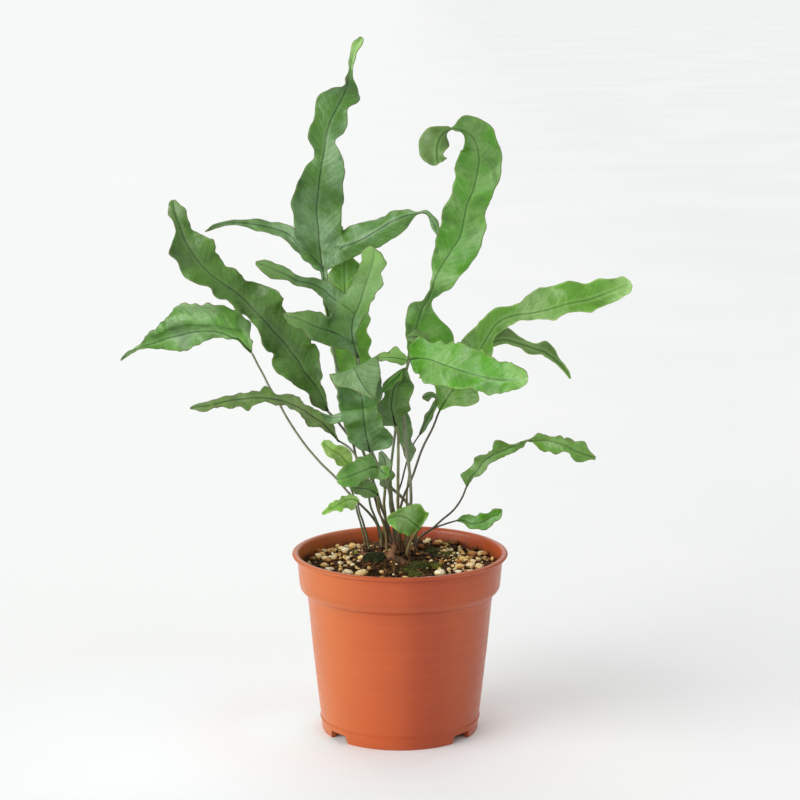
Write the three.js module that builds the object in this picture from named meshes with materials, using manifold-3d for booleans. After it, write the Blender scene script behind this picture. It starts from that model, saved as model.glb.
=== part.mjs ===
// Potted fern: a young strap fern with waved and lobed fronds, growing from a creeping rhizome
// in gritty soil, in a thin-walled plastic nursery pot.
//
// Millimetres, +Z up. +X is to the right and -Y is towards someone who looks at the front.
// The origin is the middle of the pot's foot, on the surface that the pot stands on.
import * as THREE from 'three';
import Module from 'manifold-3d';
import { mergeVertices } from 'three/addons/utils/BufferGeometryUtils.js';

const wasm = await Module();
wasm.setup();

// Driving dimensions of the pot
const POT_HEIGHT = 101.7;
const RIM_RADIUS = 60;
const LIP_HEIGHT = 2.4;
const BAND_RADIUS = 57.2; // collar just under the lip
const BAND_FOOT = 79.5; // height at which the collar steps in to the body
const BODY_TOP_RADIUS = 52.1;
const SEAM_RADIUS = 44.5;
const SEAM_HEIGHT = 7.5;
const FOOT_RADIUS = 43.8;
const WALL = 1.2;
const FLOOR_HEIGHT = 5; // underside of the pot's raised floor
const CENTRE_FOOT_RADIUS = 14;
const RING_FOOT_WIDTH = 2.6;
const NOTCH_HEIGHT = 4.7;
const NOTCH_WIDTH = [15.4, 12.4]; // at the table and at the notch's top
const NOTCH_ANGLES = [-129, -51, 51, 129]; // degrees from the front
const DRAIN_RADIUS = 4.2;
const DRAIN_CIRCLE = 27;
const DRAINS = 6;
const ROUND_STEPS = 36;

// Driving dimensions of the soil and of what grows in it
const GAP = 0.3; // clearance between pieces that touch
const SOIL_LEVEL = 92.4;
const SOIL_MOUNDS = [ // x, y, reach in x, reach in y, height
  [-4, 15, 17, 15, 6.5],
  [-13, -4, 11, 9, 3.2],
  [19, -8, 13, 12, 1.6],
];
const ROOT_DEPTH = 90; // height at which the stems end in the soil
const BLADE_THICKNESS = 0.7;
const STEM_SIDES = 5;
const STEM_ROWS_IN_BLADE = 3; // rows of a blade that its stem runs on into, as a raised rib
const VIEW = new THREE.Vector3(0, -0.983, 0.185); // the side that the blades' upper faces turn to
const LEFT = 1;
const RIGHT = -1;

// Colours and finishes
const TERRACOTTA = { color: '#c0613f', roughness: 0.62 };
const PEAT = { color: '#4a3526', roughness: 0.95 };
const BARK_BROWN = { color: '#7d4e36', roughness: 0.85 };
const BLUE_GREEN = { color: '#567f52', roughness: 0.45 };
const BRIGHT_GREEN = { color: '#67a043', roughness: 0.4 };
const MID_GREEN = { color: '#4f8038', roughness: 0.45 };
const DARK_GREEN = { color: '#456b37', roughness: 0.5 };

// Every frond: its stem's centre line from the soil to the blade, the stem's radius at both
// ends, and its blade as rows across the rib. A row is x, y, z of the rib, the width to the
// left and to the right of it as seen from the front with the tip up, and the turn about the
// rib in degrees. A lobe grows from the blade's edge between two of its rows. The wave is the
// height and length of the ripple along the edges, and the cup is how far the edges rise.
const FRONDS = [
  {
    name: 'frond_tall_centre', finish: BLUE_GREEN, radii: [1.1, 0.9], wave: [2.2, 31], cup: 0.12,
    stem: [[-5, 28, 90], [-5, 26, 100], [-7, 22, 111], [-11, 17, 124], [-16, 9, 143], [-21, 6, 158],
      [-29, 6, 177], [-33, 7, 195], [-37, 9, 216], [-41, 11, 238], [-43, 13, 254], [-43, 14, 263.5]],
    blade: [[-43, 14, 263.5, 0.6, 0.6, 0], [-44, 15, 269, 5, 5.5, 0], [-45, 16, 274, 9, 10, 0],
      [-45, 17, 280, 12.5, 13.5, 0], [-46, 19, 290, 13.5, 14, 8], [-45, 21, 300, 14.5, 14.5, 12],
      [-44, 23, 309, 9.5, 13.5, 5], [-42, 25, 320, 5.5, 11, -8], [-41, 27, 330, 9.5, 6.5, -12],
      [-38.5, 29, 338, 10.5, 8, 0], [-35, 31, 345.5, 11.5, 6, 8], [-31.5, 33, 351, 6, 5, 20],
      [-29, 35, 357, 3, 7, 30], [-27.8, 36, 362.5, 1.4, 4, 30], [-27.2, 37, 367, 1.1, 1.4, 20],
      [-26.8, 38, 371, 1.9, 2.2, 10], [-24.9, 38, 376, 2.5, 2.3, 0],
      [-22.4, 37.5, 380, 2.2, 1.8, 0], [-20.7, 37, 382.8, 0.6, 0.6, 0]],
    lobes: [
      { side: LEFT, from: 0, to: 3, rows: [[-62, 17.5, 277, 3.8, 4.8, 0], [-70, 20, 279.5, 4, 3.8, 5],
        [-79, 21, 281.5, 3.2, 3, 8], [-88, 22, 282.5, 1.5, 1.5, 5], [-94, 22, 282.5, 1.3, 1.3, 0],
        [-100.5, 20, 281.5, 1.4, 1.2, 0], [-107, 17, 278.5, 0.6, 0.6, 0]] },
      { side: RIGHT, from: 0, to: 3, rows: [[-23, 12, 272, 12, 5, -8], [-13.5, 9, 277.7, 11.5, 5.5, -15],
        [-5, 6, 283.5, 7.5, 5.3, -15], [3, 3, 288.6, 4.5, 4.5, -10], [9, 1, 291, 1.3, 1.8, 0],
        [13.7, -1, 290.5, 1.9, 1.5, 0], [17, -2, 286.8, 2, 1.4, 0], [19, -2.5, 283, 1.2, 1.2, 0],
        [19.6, -3, 281, 0.6, 0.6, 0]] },
    ],
  },
  {
    name: 'frond_right_arching', finish: BRIGHT_GREEN, radii: [0.9, 0.8], wave: [2, 30], cup: 0.1,
    stem: [[0, 25, 90], [-3, 19, 115], [-5, 12, 134], [-5, 9, 150], [-3, 10, 163], [-2, 12, 175],
      [1, 11, 190], [4, 8, 206], [5, 8, 212]],
    blade: [[5, 8, 212, 0.6, 0.6, 0], [6, 9, 217, 3, 19, 0], [8, 10, 223, 5, 23, 5],
      [10, 11, 230, 6.5, 18, 10], [12, 12, 236, 7, 9, 10], [15, 12, 241, 3, 3, 15],
      [17, 12, 246, 1.3, 5.5, 10], [19, 12, 252, 2, 10, 0], [23, 13, 260, 6, 12.5, -5],
      [28, 14, 268, 9.5, 13, -8], [33, 15, 276, 11, 12.5, -5], [35, 15, 285, 12.5, 12.5, 0],
      [37, 15, 294, 11.5, 11.5, 8], [40, 14, 301, 11.5, 10, 10], [42, 13, 310, 12, 13, 5],
      [43, 10, 318, 11.5, 13, 0], [42, 7, 325, 10, 11, -5], [40, 3, 331, 7, 10.5, -5],
      [35, -3, 335.5, 3, 8, 0], [28, -9, 336.5, 2.2, 2.5, 0], [23, -13, 335, 6, 3.5, 0],
      [20, -16, 331.5, 7, 8, 0], [20, -18, 327, 6, 9, 0], [20, -19, 322.5, 4, 7.5, 0],
      [21, -18, 318, 2.6, 2.6, 0]],
    lobes: [],
  },
  {
    name: 'frond_right_far', finish: BRIGHT_GREEN, radii: [0.8, 0.7], wave: [2.4, 27], cup: 0.1,
    stem: [[1, 9, 90], [0, 7, 109], [0, 3, 122], [2, 1, 132], [6, 1, 141], [11, 1, 156],
      [17, 3, 169], [22, 6, 180]],
    blade: [[22, 6, 180, 0.6, 0.6, 0], [25, 7, 185, 7, 4.5, 0], [28, 9, 189, 11, 11.5, 0],
      [31, 11, 193, 10.5, 16, 0], [35, 13, 198, 9, 9, 0], [39, 16, 204, 9, 5.5, 0],
      [44, 20, 211, 12, 6.5, 5], [49, 24, 219, 10, 4.5, 12], [55, 28, 226, 8, 6, 12],
      [63, 32, 229, 6, 3.5, 5], [73, 35, 230, 10, 3.5, -5], [85, 38, 232, 13, 7, -10],
      [96, 40, 235, 11.5, 5.5, -5], [107, 42, 237, 10, 5.5, 0], [117, 43, 241, 8, 5.5, 0],
      [125, 43, 244.5, 5, 3.5, 0], [130, 43, 246, 1, 1, 0]],
    lobes: [],
    branch: [[33, 12, 195.5, 1, 1, 0], [38, 18, 202, 1.4, 1.4, 0], [45, 26, 210, 2, 2, 0],
      [52, 31, 214, 2, 2, 0], [58, 34, 215, 5.5, 3, 0], [66, 36, 213, 4.5, 2.5, 10],
      [74, 39, 210, 3.2, 3.2, 10], [82, 42, 206, 5.2, 2.5, 0], [89, 44, 202, 2.6, 2.6, 0],
      [94, 45, 196, 1.8, 1.8, 0], [97, 45, 191, 0.6, 0.6, 0]],
  },
  {
    name: 'frond_right_broad', finish: BRIGHT_GREEN, radii: [1, 0.9], wave: [2.6, 25], cup: 0.16,
    stem: [[4.5, 7, 90], [5, 3, 114], [6, -2, 129], [6, -4, 142], [4, -5, 156], [3, -4, 166],
      [2, -2, 178], [2, -1.5, 190], [3, -4, 203], [4, -7, 207], [5, -9, 211]],
    blade: [[5, -9, 211, 0.7, 0.7, 0], [7, -11, 212, 5, 6, 0], [11, -15, 213, 10, 10, -5],
      [16, -20, 213, 10.5, 11.5, -10], [22, -27, 212, 12, 13, -10], [28, -34, 211, 13, 10.5, -5],
      [34, -40, 210, 14, 10, 0], [41, -46, 209, 14, 7.5, 0], [48, -51, 208, 12, 9, 5],
      [54, -55, 208, 9, 5.5, 5], [59, -58, 208, 8.5, 5.5, 0], [63, -60, 209, 6, 3, 0],
      [66, -61, 210.5, 2, 1.5, 0]],
    lobes: [],
    branch: [[5, -9, 211, 1, 1, 0], [2, -12, 211, 4.5, 4.5, 0], [-1, -14.5, 211, 8, 8, -5],
      [-5, -17.5, 211.5, 8, 6.5, -10], [-9, -19.5, 210, 6.5, 5.5, -5], [-12, -21, 208, 4, 3.5, 0],
      [-14, -21.5, 206.5, 0.9, 0.9, 0]],
  },
  {
    name: 'frond_left_long', finish: BLUE_GREEN, radii: [0.8, 0.8], wave: [2.4, 29], cup: 0.14,
    stem: [[-5.5, 17.5, 90], [-8, 15, 111], [-12, 10, 122], [-15, 6, 133], [-19, 2, 143],
      [-24, 0, 154], [-27, 0, 165], [-31, 1, 170], [-35, 2, 175], [-40, 4, 180]],
    blade: [[-40, 4, 180, 0.6, 0.6, 0], [-42, 2, 186, 6, 1.2, 0], [-45, 0, 193, 7.5, 4, 0],
      [-49, -3, 199, 10, 8, -5], [-53, -6, 205, 10.5, 11.5, -8], [-56, -9, 211, 11, 12.5, -8],
      [-60, -12, 217, 11.5, 12.5, -5], [-63, -15, 222, 9.5, 13, 0], [-68, -19, 228, 8.5, 12.5, 5],
      [-73, -23, 235, 6.5, 14, 8], [-78, -26, 241, 4.5, 16.5, 8], [-82, -29, 246, 5.5, 13, 5],
      [-87, -32, 251, 6, 10.5, 0], [-93, -35, 256, 7, 9.5, 0], [-98, -37, 260, 6.5, 8.5, -5],
      [-103, -39, 265, 9, 9.5, -8], [-107, -41, 270, 10.5, 11, -8], [-110, -42, 275, 9, 11, -5],
      [-113, -42, 280, 7.5, 10.5, 0], [-115, -42, 286, 4, 8, 0], [-117, -41, 291, 2, 4.5, 0],
      [-118, -39, 296, 3, 4, 0], [-119, -37, 300, 0.8, 0.8, 0]],
    lobes: [],
  },
  {
    name: 'frond_left_folded', finish: BLUE_GREEN, radii: [0.8, 0.7], wave: [1.4, 26], cup: 0.35,
    stem: [[-12.5, 20.5, 90], [-11.5, 19, 103], [-12.5, 17, 111], [-16, 14, 118], [-28, 12, 131],
      [-36, 14, 140], [-46, 16, 150], [-56, 18, 162], [-67, 20, 180], [-78, 22, 200],
      [-83, 22, 210]],
    blade: [[-83, 22, 210, 0.6, 0.6, 0], [-86, 22, 213, 1.4, 5, 0], [-90, 23, 217, 1.4, 12, -10],
      [-96, 24, 219, 2, 16, -20], [-103, 26, 221, 4, 19, -25], [-111, 28, 221, 6.5, 19, -25],
      [-117, 30, 220, 8, 19, -20], [-124, 31, 218, 9, 14, -15], [-131, 33, 216, 7, 9, -10],
      [-139, 34, 213, 3, 5.5, 0], [-146, 34, 211, 1.6, 1.6, 0], [-152, 33, 208, 1.1, 1.1, 0],
      [-157, 31, 204, 0.6, 0.6, 0]],
    lobes: [],
  },
  {
    name: 'frond_left_low', finish: DARK_GREEN, radii: [0.8, 0.7], wave: [1.6, 22], cup: 0.15,
    stem: [[-4, 11, 90], [-6, 8, 111], [-9, 4, 122], [-13, 0, 132], [-17, -3, 141],
      [-21, -4, 151], [-25, -4, 157.5], [-29, -4, 162], [-34, -4, 165]],
    blade: [[-34, -4, 165, 0.6, 0.6, 0], [-39, -8, 172, 1.5, 3, 0], [-43, -12, 177, 3, 4.5, 0],
      [-48, -15, 181, 5.5, 4, 5], [-51, -18, 184, 5, 3.5, 5], [-55, -21, 187, 2, 4, 0],
      [-60, -25, 190, 2, 5, 0], [-64, -28, 192, 2.4, 3, 0], [-71, -32, 194, 2.4, 5, 0],
      [-77, -36, 195, 4, 3.5, 0], [-85, -40, 195, 4, 3.5, 0], [-90, -43, 195, 3.5, 2.4, 0],
      [-96, -46, 194, 3.2, 2, 0], [-102, -48, 193, 2.2, 2, 0], [-107, -50, 193, 1.8, 1.5, 0],
      [-111, -51, 192, 0.6, 0.6, 0]],
    lobes: [],
  },
  {
    name: 'frond_centre_three_lobed', finish: BLUE_GREEN, radii: [1, 0.9], wave: [1.5, 25],
    cup: 0.1,
    stem: [[9, 19, 90], [8, 14, 113], [5, 11, 125], [0, 10, 131], [-5, 8, 136], [-10, 8, 144],
      [-15, 4, 154], [-17, 1, 164], [-19, 0, 176], [-21, -3, 196], [-23, -6, 212]],
    blade: [[-23, -6, 212, 0.6, 0.6, 0], [-25, -9, 219, 4.5, 2, 0], [-26, -12, 225, 7.5, 2.5, 0],
      [-26, -15, 231, 11, 3.5, 0], [-25, -17, 236, 12, 4.5, 0], [-23, -19, 240.5, 11.5, 5, 0],
      [-21, -21, 246, 8.5, 6, 0], [-19, -24, 253, 8, 7.5, 5], [-17, -26, 259, 7.5, 8, 8],
      [-15, -28, 265, 6.5, 6.5, 5], [-14, -30, 270, 6, 6.5, -5], [-14, -32, 274, 4, 4.5, -10],
      [-14, -33, 276, 2, 2, -10]],
    lobes: [
      { side: LEFT, from: 1, to: 4, rows: [[-42, -17.5, 229.5, 7.5, 8, -5],
        [-47, -20.5, 232, 7, 7.5, -8], [-51, -24, 234.5, 5.5, 6.5, -5],
        [-55, -27, 236.5, 4.5, 4.5, 0], [-59, -29.5, 238, 3.6, 2.4, 0],
        [-62, -30.5, 239, 1.2, 1, 0]] },
      { side: LEFT, from: 4, to: 6, rows: [[-41, -21, 251, 4, 5, 5], [-47, -25, 255, 3.4, 3.5, 8],
        [-54, -30, 257, 2.8, 2.6, 8], [-60, -34, 261, 3.2, 3, 5], [-66, -37, 264, 4.6, 3.5, 0],
        [-72, -39, 267, 3.4, 2.6, 0], [-76, -40, 268, 0.8, 0.8, 0]] },
    ],
  },
  {
    name: 'frond_behind_centre', finish: MID_GREEN, radii: [1, 0.8], wave: [1.6, 34], cup: -0.1,
    stem: [[-11, 25.5, 90], [-9.5, 21, 105], [-8.5, 17.5, 116], [-9, 14.5, 127], [-8.5, 14, 134], [-12, 12, 146],
      [-18, 9, 163], [-20, 9, 177], [-21, 10, 190]],
    blade: [[-21, 10, 190, 0.6, 0.6, 0], [-23, 13, 199, 11, 7, 0], [-25, 16, 212, 12.5, 8.5, 5],
      [-28, 20, 226, 12, 11, 8], [-30, 22, 239, 11.5, 13, 5], [-31, 24, 250, 10.5, 11.5, 0],
      [-31, 26, 260, 5.5, 8, 0], [-31, 27, 268, 0.8, 0.8, 0]],
    lobes: [],
  },
  {
    name: 'frond_low_centre', finish: BLUE_GREEN, radii: [0.9, 0.8], wave: [1.2, 21], cup: 0.08,
    stem: [[-1, 6, 90], [-3, 8, 105], [-4, 4, 120], [-6, -3, 136], [-10, -9, 150],
      [-14, -12, 156], [-18, -14, 160]],
    blade: [[-18, -14, 160, 0.6, 0.9, 0], [-19, -18, 167, 5, 13, 0], [-20, -22, 174, 9.5, 12, 0],
      [-20, -26, 181, 11, 9.5, 0], [-20, -29, 186, 10, 7, 0], [-20, -27, 190, 12.5, 10, 0],
      [-20, -22, 194, 11.5, 11, 0], [-21, -18, 198, 11.5, 9, 0], [-22, -15, 203, 9.5, 5, 0]],
    lobes: [
      { side: RIGHT, from: 5, to: 7, rows: [[-14, -28, 200, 6, 5.5, 180],
        [-17, -34, 204, 8.5, 5.5, 175], [-21, -38, 207, 10, 5.5, 175], [-27, -41, 210, 5, 5, 180],
        [-32, -41, 210, 2.8, 4, 180], [-36, -40, 208, 1, 1, 180]] },
      { side: LEFT, from: 3, to: 4, rows: [[-37, -30, 183, 3.5, 1.4, 20],
        [-43, -32, 185.5, 0.9, 0.8, 0]] },
    ],
  },
  {
    name: 'frond_centre_right', finish: DARK_GREEN, radii: [1.1, 0.9], wave: [1.4, 26], cup: 0.1,
    stem: [[1, 15, 90], [0, 13, 110], [-1, 8, 124], [-1, 3, 141], [-1, 0, 156], [-1, -3, 167],
      [-2, -6, 174]],
    blade: [[-2, -6, 174, 0.9, 0.9, 0], [-3, -8, 180, 9, 7, -5], [-4, -10, 187, 8, 10, -10],
      [-4, -11, 193, 6.5, 10, -12], [-3, -11, 198, 5.5, 10, -12], [-1, -10, 202, 4, 7.5, -8],
      [1, -9, 204.5, 1.2, 2, 0]],
    lobes: [],
  },
  {
    name: 'frond_centre_right_narrow', finish: DARK_GREEN, radii: [0.8, 0.7], wave: [1, 18],
    cup: 0.1,
    stem: [[4.5, 17, 90], [3, 13, 106], [4, 9, 120], [4, 6, 134], [5, 4.5, 144], [5, 2, 152]],
    blade: [[5, 2, 152, 0.6, 0.7, 0], [4, 3, 157, 2, 5, 0], [3, 4, 164, 4, 3, 0],
      [2, 5, 171, 5, 5, 0], [1, 6, 178, 4, 3.4, 0], [0, 6, 184, 0.8, 0.8, 0]],
    lobes: [],
  },
  {
    name: 'frond_curled_dark', finish: DARK_GREEN, radii: [0.7, 0.5], wave: [0.6, 12], cup: 0.1,
    stem: [[2, 31, 90], [-1, 26, 113], [-1, 17, 131], [1, 13, 138], [4, 8, 151], [7, 6, 160],
      [11, 4, 167]],
    blade: [[11, 4, 167, 0.5, 0.6, 0], [12.5, 4, 170, 1, 1.8, 0], [14, 4, 174, 1.3, 2, 0],
      [15.5, 4, 177, 2.6, 2.6, 0], [17.5, 4, 180, 2, 2, 0], [19, 3, 183, 1.6, 1.6, 0],
      [20.5, 2, 186, 1.8, 1.2, 0], [20, 0.5, 188.5, 1.2, 1.2, 0], [17.5, -0.5, 190, 1.6, 1.6, 0],
      [14.5, -1, 189, 2.4, 2.2, 0], [12.3, -1, 188.5, 0.8, 0.8, 0]],
    lobes: [],
  },
  {
    name: 'frond_small_left', finish: BRIGHT_GREEN, radii: [0.7, 0.6], wave: [0.8, 18], cup: 0.1,
    stem: [[-18.6, 20, 90], [-20, 17, 104], [-22, 14, 113], [-25, 4, 127], [-26, -1, 134],
      [-28, -7, 142], [-28, -11, 147], [-27, -14, 152]],
    blade: [[-27, -14, 152, 0.6, 0.8, 0], [-30, -18, 157, 4.4, 5.2, 0], [-33, -21, 161, 4.2, 4.6, 5],
      [-37, -24, 164, 4, 4.4, 5], [-40, -26, 167, 2.8, 3.4, 0], [-42, -28, 169, 1, 1.2, 0]],
    lobes: [],
  },
  {
    name: 'frond_front_bright', finish: BRIGHT_GREEN, radii: [0.8, 0.7], wave: [1.2, 20], cup: 0.1,
    stem: [[-11, 15, 90], [-11, 12, 110], [-13, 7, 117], [-16, 0, 126], [-17, -7, 134],
      [-17, -14, 143], [-14, -19, 150], [-12, -21, 154]],
    blade: [[-12, -21, 154, 0.7, 0.7, 0], [-15, -24, 154.5, 6.5, 6.5, 0], [-18, -27, 154, 5, 7.5, 5],
      [-22, -30, 153, 5, 7, 8], [-26, -33, 152, 5, 6, 8], [-29, -35, 151.5, 4.4, 4.2, 5],
      [-32, -36, 151, 3.2, 3, 0], [-34, -36, 151, 1, 1, 0]],
    lobes: [],
    branch: [[-12, -21, 154, 1, 1, 0], [-10, -23, 152, 4, 4.5, 10], [-8, -25, 150.5, 3.6, 3.4, 15],
      [-6.5, -26, 149.5, 1.2, 1.4, 10]],
  },
  {
    name: 'frond_front_under', finish: MID_GREEN, radii: [0.8, 0.7], wave: [1, 16], cup: 0.12,
    stem: [[-8, 9, 90], [-8, 6, 111], [-11, 0, 122], [-12, -6, 130], [-12, -12, 136]],
    blade: [[-12, -12, 136, 0.6, 0.7, 0], [-15, -14.5, 139, 4.2, 3.6, 0],
      [-18, -18, 141, 5, 4.6, -5], [-22, -21, 142, 4, 3.8, -5], [-25, -23, 143, 2.4, 2.6, 0],
      [-27, -24, 144, 0.7, 0.7, 0]],
    lobes: [],
  },
  {
    name: 'frond_small_blue', finish: BLUE_GREEN, radii: [0.8, 0.7], wave: [1, 12], cup: 0.12,
    stem: [[-2, 20, 90], [-4, 14, 113], [-5.5, 8, 126], [-6, 2, 136]],
    blade: [[-6, 2, 136, 0.6, 0.7, 0], [-7, 1, 140, 3.6, 2.2, 0], [-7, 0, 144, 4.4, 3.8, 0],
      [-8, -1, 148, 4, 3, 0], [-8, -1, 151, 4, 3.4, 0], [-9, -1, 155, 3, 1.8, 0],
      [-11, -1, 158, 0.9, 0.9, 0]],
    lobes: [],
  },
  {
    name: 'frond_small_front_left', finish: BRIGHT_GREEN, radii: [0.8, 0.6], wave: [0.9, 14],
    cup: 0.1,
    stem: [[-16, 14, 90], [-18, 11, 104], [-20, 3, 115], [-22, -8, 125], [-23, -16, 131],
      [-23, -22, 135]],
    blade: [[-23, -22, 135, 0.6, 1.2, 0], [-25, -24, 136.5, 4.6, 2, 0], [-29, -27, 137, 4.2, 2.4, 0],
      [-32, -30, 136, 3.6, 3.2, 5], [-36, -33, 134, 3.6, 2.8, 5], [-39, -35, 133, 1.8, 1.8, 0],
      [-42, -36, 131, 0.6, 0.6, 0]],
    lobes: [],
  },
  {
    name: 'frond_front_round', finish: BRIGHT_GREEN, radii: [1, 0.8], wave: [0.9, 26], cup: 0.12,
    stem: [[3, 1, 90], [4, 0, 101], [6, -2, 107.5], [9, -8, 114], [11, -14, 118]],
    blade: [[11, -14, 118, 0.7, 0.7, 0], [9.5, -15, 119.5, 5, 8.5, 0], [8, -17, 121, 7.5, 9.5, 5],
      [4, -20, 125, 8.5, 9, 8], [0, -23, 127, 8.5, 4.5, 8], [-4, -25, 127, 7, 2.5, 5],
      [-7, -26, 126, 2.2, 0.9, 0]],
    lobes: [],
  },
  {
    name: 'frond_right_twisted', finish: MID_GREEN, radii: [0.7, 0.6], wave: [1.2, 22], cup: 0.1,
    stem: [[7.5, 9, 90], [8.5, 9, 101], [11, 8, 107], [18, 6, 113], [24, 4, 119], [30, 1, 125],
      [35, -1, 133], [37, -2, 139]],
    blade: [[37, -2, 139, 0.6, 0.6, 0], [39, -3, 144, 6, 1.4, 0], [43, -5, 149, 5, 2.6, 0],
      [46, -7, 154, 4.2, 4.4, 5], [51, -9, 158, 3.8, 2.8, 10], [57, -12, 161, 4.8, 3.6, 20],
      [62, -15, 164, 3, 3.6, 40], [66, -16, 166, 1.6, 3, 60], [69, -18, 168, 1.6, 1.6, 75],
      [73, -20, 168, 2.8, 5, 45], [79, -22, 169, 4.2, 4.4, 20], [85, -24, 168, 4.6, 5.6, 5],
      [91, -25, 166, 5.4, 5, 0], [95, -26, 164, 4.6, 4.6, 0], [100, -26, 162, 3.4, 3.6, 0],
      [106, -26, 160, 0.8, 0.8, 0]],
    lobes: [],
  },
  {
    name: 'frond_right_low', finish: MID_GREEN, radii: [0.7, 0.55], wave: [1, 16], cup: 0.12,
    stem: [[8, 13.5, 90], [8.5, 13, 103], [15, 12, 109], [19, 11, 112], [25, 10, 114.5],
      [32, 8, 117]],
    blade: [[32, 8, 117, 0.6, 0.6, 0], [35, 8, 117, 4, 1.4, 0], [40, 7, 115.5, 4, 2.8, 0],
      [44, 6, 116, 4.6, 4, 0], [48, 5, 118, 4, 4.2, 0], [51, 4, 120, 3.2, 3.6, 0],
      [55, 3, 122, 3.2, 2, 0], [56, 2, 125, 1, 0.8, 0]],
    lobes: [],
  },
];

// A closed three.js geometry as a solid that can be joined and cut.
function solid(geometry) {
  const bare = geometry.clone();
  bare.deleteAttribute('normal');
  bare.deleteAttribute('uv');
  const merged = mergeVertices(bare, 1e-4);
  const corners = merged.index.array;
  const kept = [];
  for (let i = 0; i < corners.length; i += 3) {
    const [a, b, c] = [corners[i], corners[i + 1], corners[i + 2]];
    if (a !== b && b !== c && c !== a) kept.push(a, b, c);
  }
  return new wasm.Manifold(new wasm.Mesh({
    numProp: 3,
    vertProperties: Float32Array.from(merged.attributes.position.array),
    triVerts: Uint32Array.from(kept),
  }));
}

function join(solids) {
  return solids.reduce((whole, next) => whole.add(next));
}

function meshFrom(body, name, finish) {
  const { vertProperties, triVerts } = body.getMesh();
  const geometry = new THREE.BufferGeometry();
  geometry.setAttribute('position', new THREE.Float32BufferAttribute(vertProperties, 3));
  geometry.setIndex([...triVerts]);
  geometry.computeVertexNormals();
  const material = new THREE.MeshStandardMaterial({ metalness: 0, side: THREE.DoubleSide, ...finish });
  const mesh = new THREE.Mesh(geometry, material);
  mesh.name = name;
  return mesh;
}

function vector([x, y, z]) {
  return new THREE.Vector3(x, y, z);
}

// A profile of [radius, height] pairs turned about the Z axis.
function turned(profile) {
  const points = profile.map(([radius, height]) => new THREE.Vector2(radius, height));
  return new THREE.LatheGeometry(points, ROUND_STEPS).rotateX(Math.PI / 2);
}

// A round bar along points, as thick at each as its radius says, with flat ends.
function bar(points, radii, sides) {
  const curve = new THREE.CatmullRomCurve3(points, false, 'catmullrom', 0.5);
  const frames = curve.computeFrenetFrames(points.length - 1, false);
  const positions = [];
  points.forEach((point, i) => {
    for (let k = 0; k < sides; k += 1) {
      const angle = (2 * Math.PI * k) / sides;
      const corner = point.clone();
      corner.addScaledVector(frames.normals[i], radii[i] * Math.cos(angle));
      corner.addScaledVector(frames.binormals[i], radii[i] * Math.sin(angle));
      positions.push(...corner.toArray());
    }
  });
  const index = [];
  for (let i = 0; i + 1 < points.length; i += 1) {
    for (let k = 0; k < sides; k += 1) {
      const a = i * sides + k;
      const b = i * sides + ((k + 1) % sides);
      index.push(a, b, b + sides, a, b + sides, a + sides);
    }
  }
  const last = (points.length - 1) * sides;
  for (let k = 1; k + 1 < sides; k += 1) {
    index.push(0, k + 1, k);
    index.push(last, last + k, last + k + 1);
  }
  const geometry = new THREE.BufferGeometry();
  geometry.setAttribute('position', new THREE.Float32BufferAttribute(positions, 3));
  geometry.setIndex(index);
  return geometry;
}

// A surface of points and triangles that grows row by row, then gets its thickness.
class Sheet {
  constructor() {
    this.points = [];
    this.triangles = [];
  }

  addRow(points) {
    return points.map((point) => this.points.push(point) - 1);
  }

  joinRows(rows) {
    for (let i = 0; i + 1 < rows.length; i += 1) {
      for (let j = 0; j + 1 < rows[i].length; j += 1) {
        const [a, b, c, d] = [rows[i][j], rows[i][j + 1], rows[i + 1][j + 1], rows[i + 1][j]];
        this.triangles.push([a, b, c], [a, c, d]);
      }
    }
  }

  thickened(thickness) {
    const normals = this.points.map(() => new THREE.Vector3());
    for (const [a, b, c] of this.triangles) {
      const edge = this.points[b].clone().sub(this.points[a]);
      const normal = edge.cross(this.points[c].clone().sub(this.points[a]));
      [a, b, c].forEach((corner) => normals[corner].add(normal));
    }
    const count = this.points.length;
    const positions = [];
    for (const side of [0.5, -0.5]) {
      this.points.forEach((point, i) => {
        const lift = normals[i].clone().normalize().multiplyScalar(side * thickness);
        positions.push(...point.clone().add(lift).toArray());
      });
    }
    const edges = new Set();
    const index = [];
    for (const [a, b, c] of this.triangles) {
      index.push(a, b, c, a + count, c + count, b + count);
      [[a, b], [b, c], [c, a]].forEach(([from, to]) => edges.add(`${from},${to}`));
    }
    for (const edge of edges) {
      const [from, to] = edge.split(',').map(Number);
      if (!edges.has(`${to},${from}`)) {
        index.push(to, from, from + count, to, from + count, to + count);
      }
    }
    const geometry = new THREE.BufferGeometry();
    geometry.setAttribute('position', new THREE.Float32BufferAttribute(positions, 3));
    geometry.setIndex(index);
    return geometry;
  }
}

// The points across every row of a blade, from its left edge to its right edge.
function bladePoints(rows, columns, wave, cup) {
  const [waveHeight, waveLength] = wave;
  const rib = new THREE.CatmullRomCurve3(rows.map(vector), false, 'catmullrom', 0.5);
  let travelled = 0;
  return rows.map(([x, y, z, left, right, turn], i) => {
    const centre = new THREE.Vector3(x, y, z);
    if (i > 0) travelled += centre.distanceTo(vector(rows[i - 1]));
    const along = rib.getTangent(i / (rows.length - 1));
    const across = VIEW.clone().cross(along).normalize().applyAxisAngle(along, THREE.MathUtils.degToRad(turn));
    const up = along.clone().cross(across);
    const line = [];
    for (let j = 0; j <= columns; j += 1) {
      const u = 1 - (2 * j) / columns;
      const width = u > 0 ? left : right;
      const phase = (2 * Math.PI * travelled) / waveLength + (u > 0 ? 0 : 2.2);
      const ripple = waveHeight * Math.min(1, width / 8) * u * u * Math.sin(phase);
      const point = centre.clone().addScaledVector(across, u * width);
      line.push(point.addScaledVector(up, cup * width * u * u + ripple));
    }
    return line;
  });
}

const BLADE_COLUMNS = 4;

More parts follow.
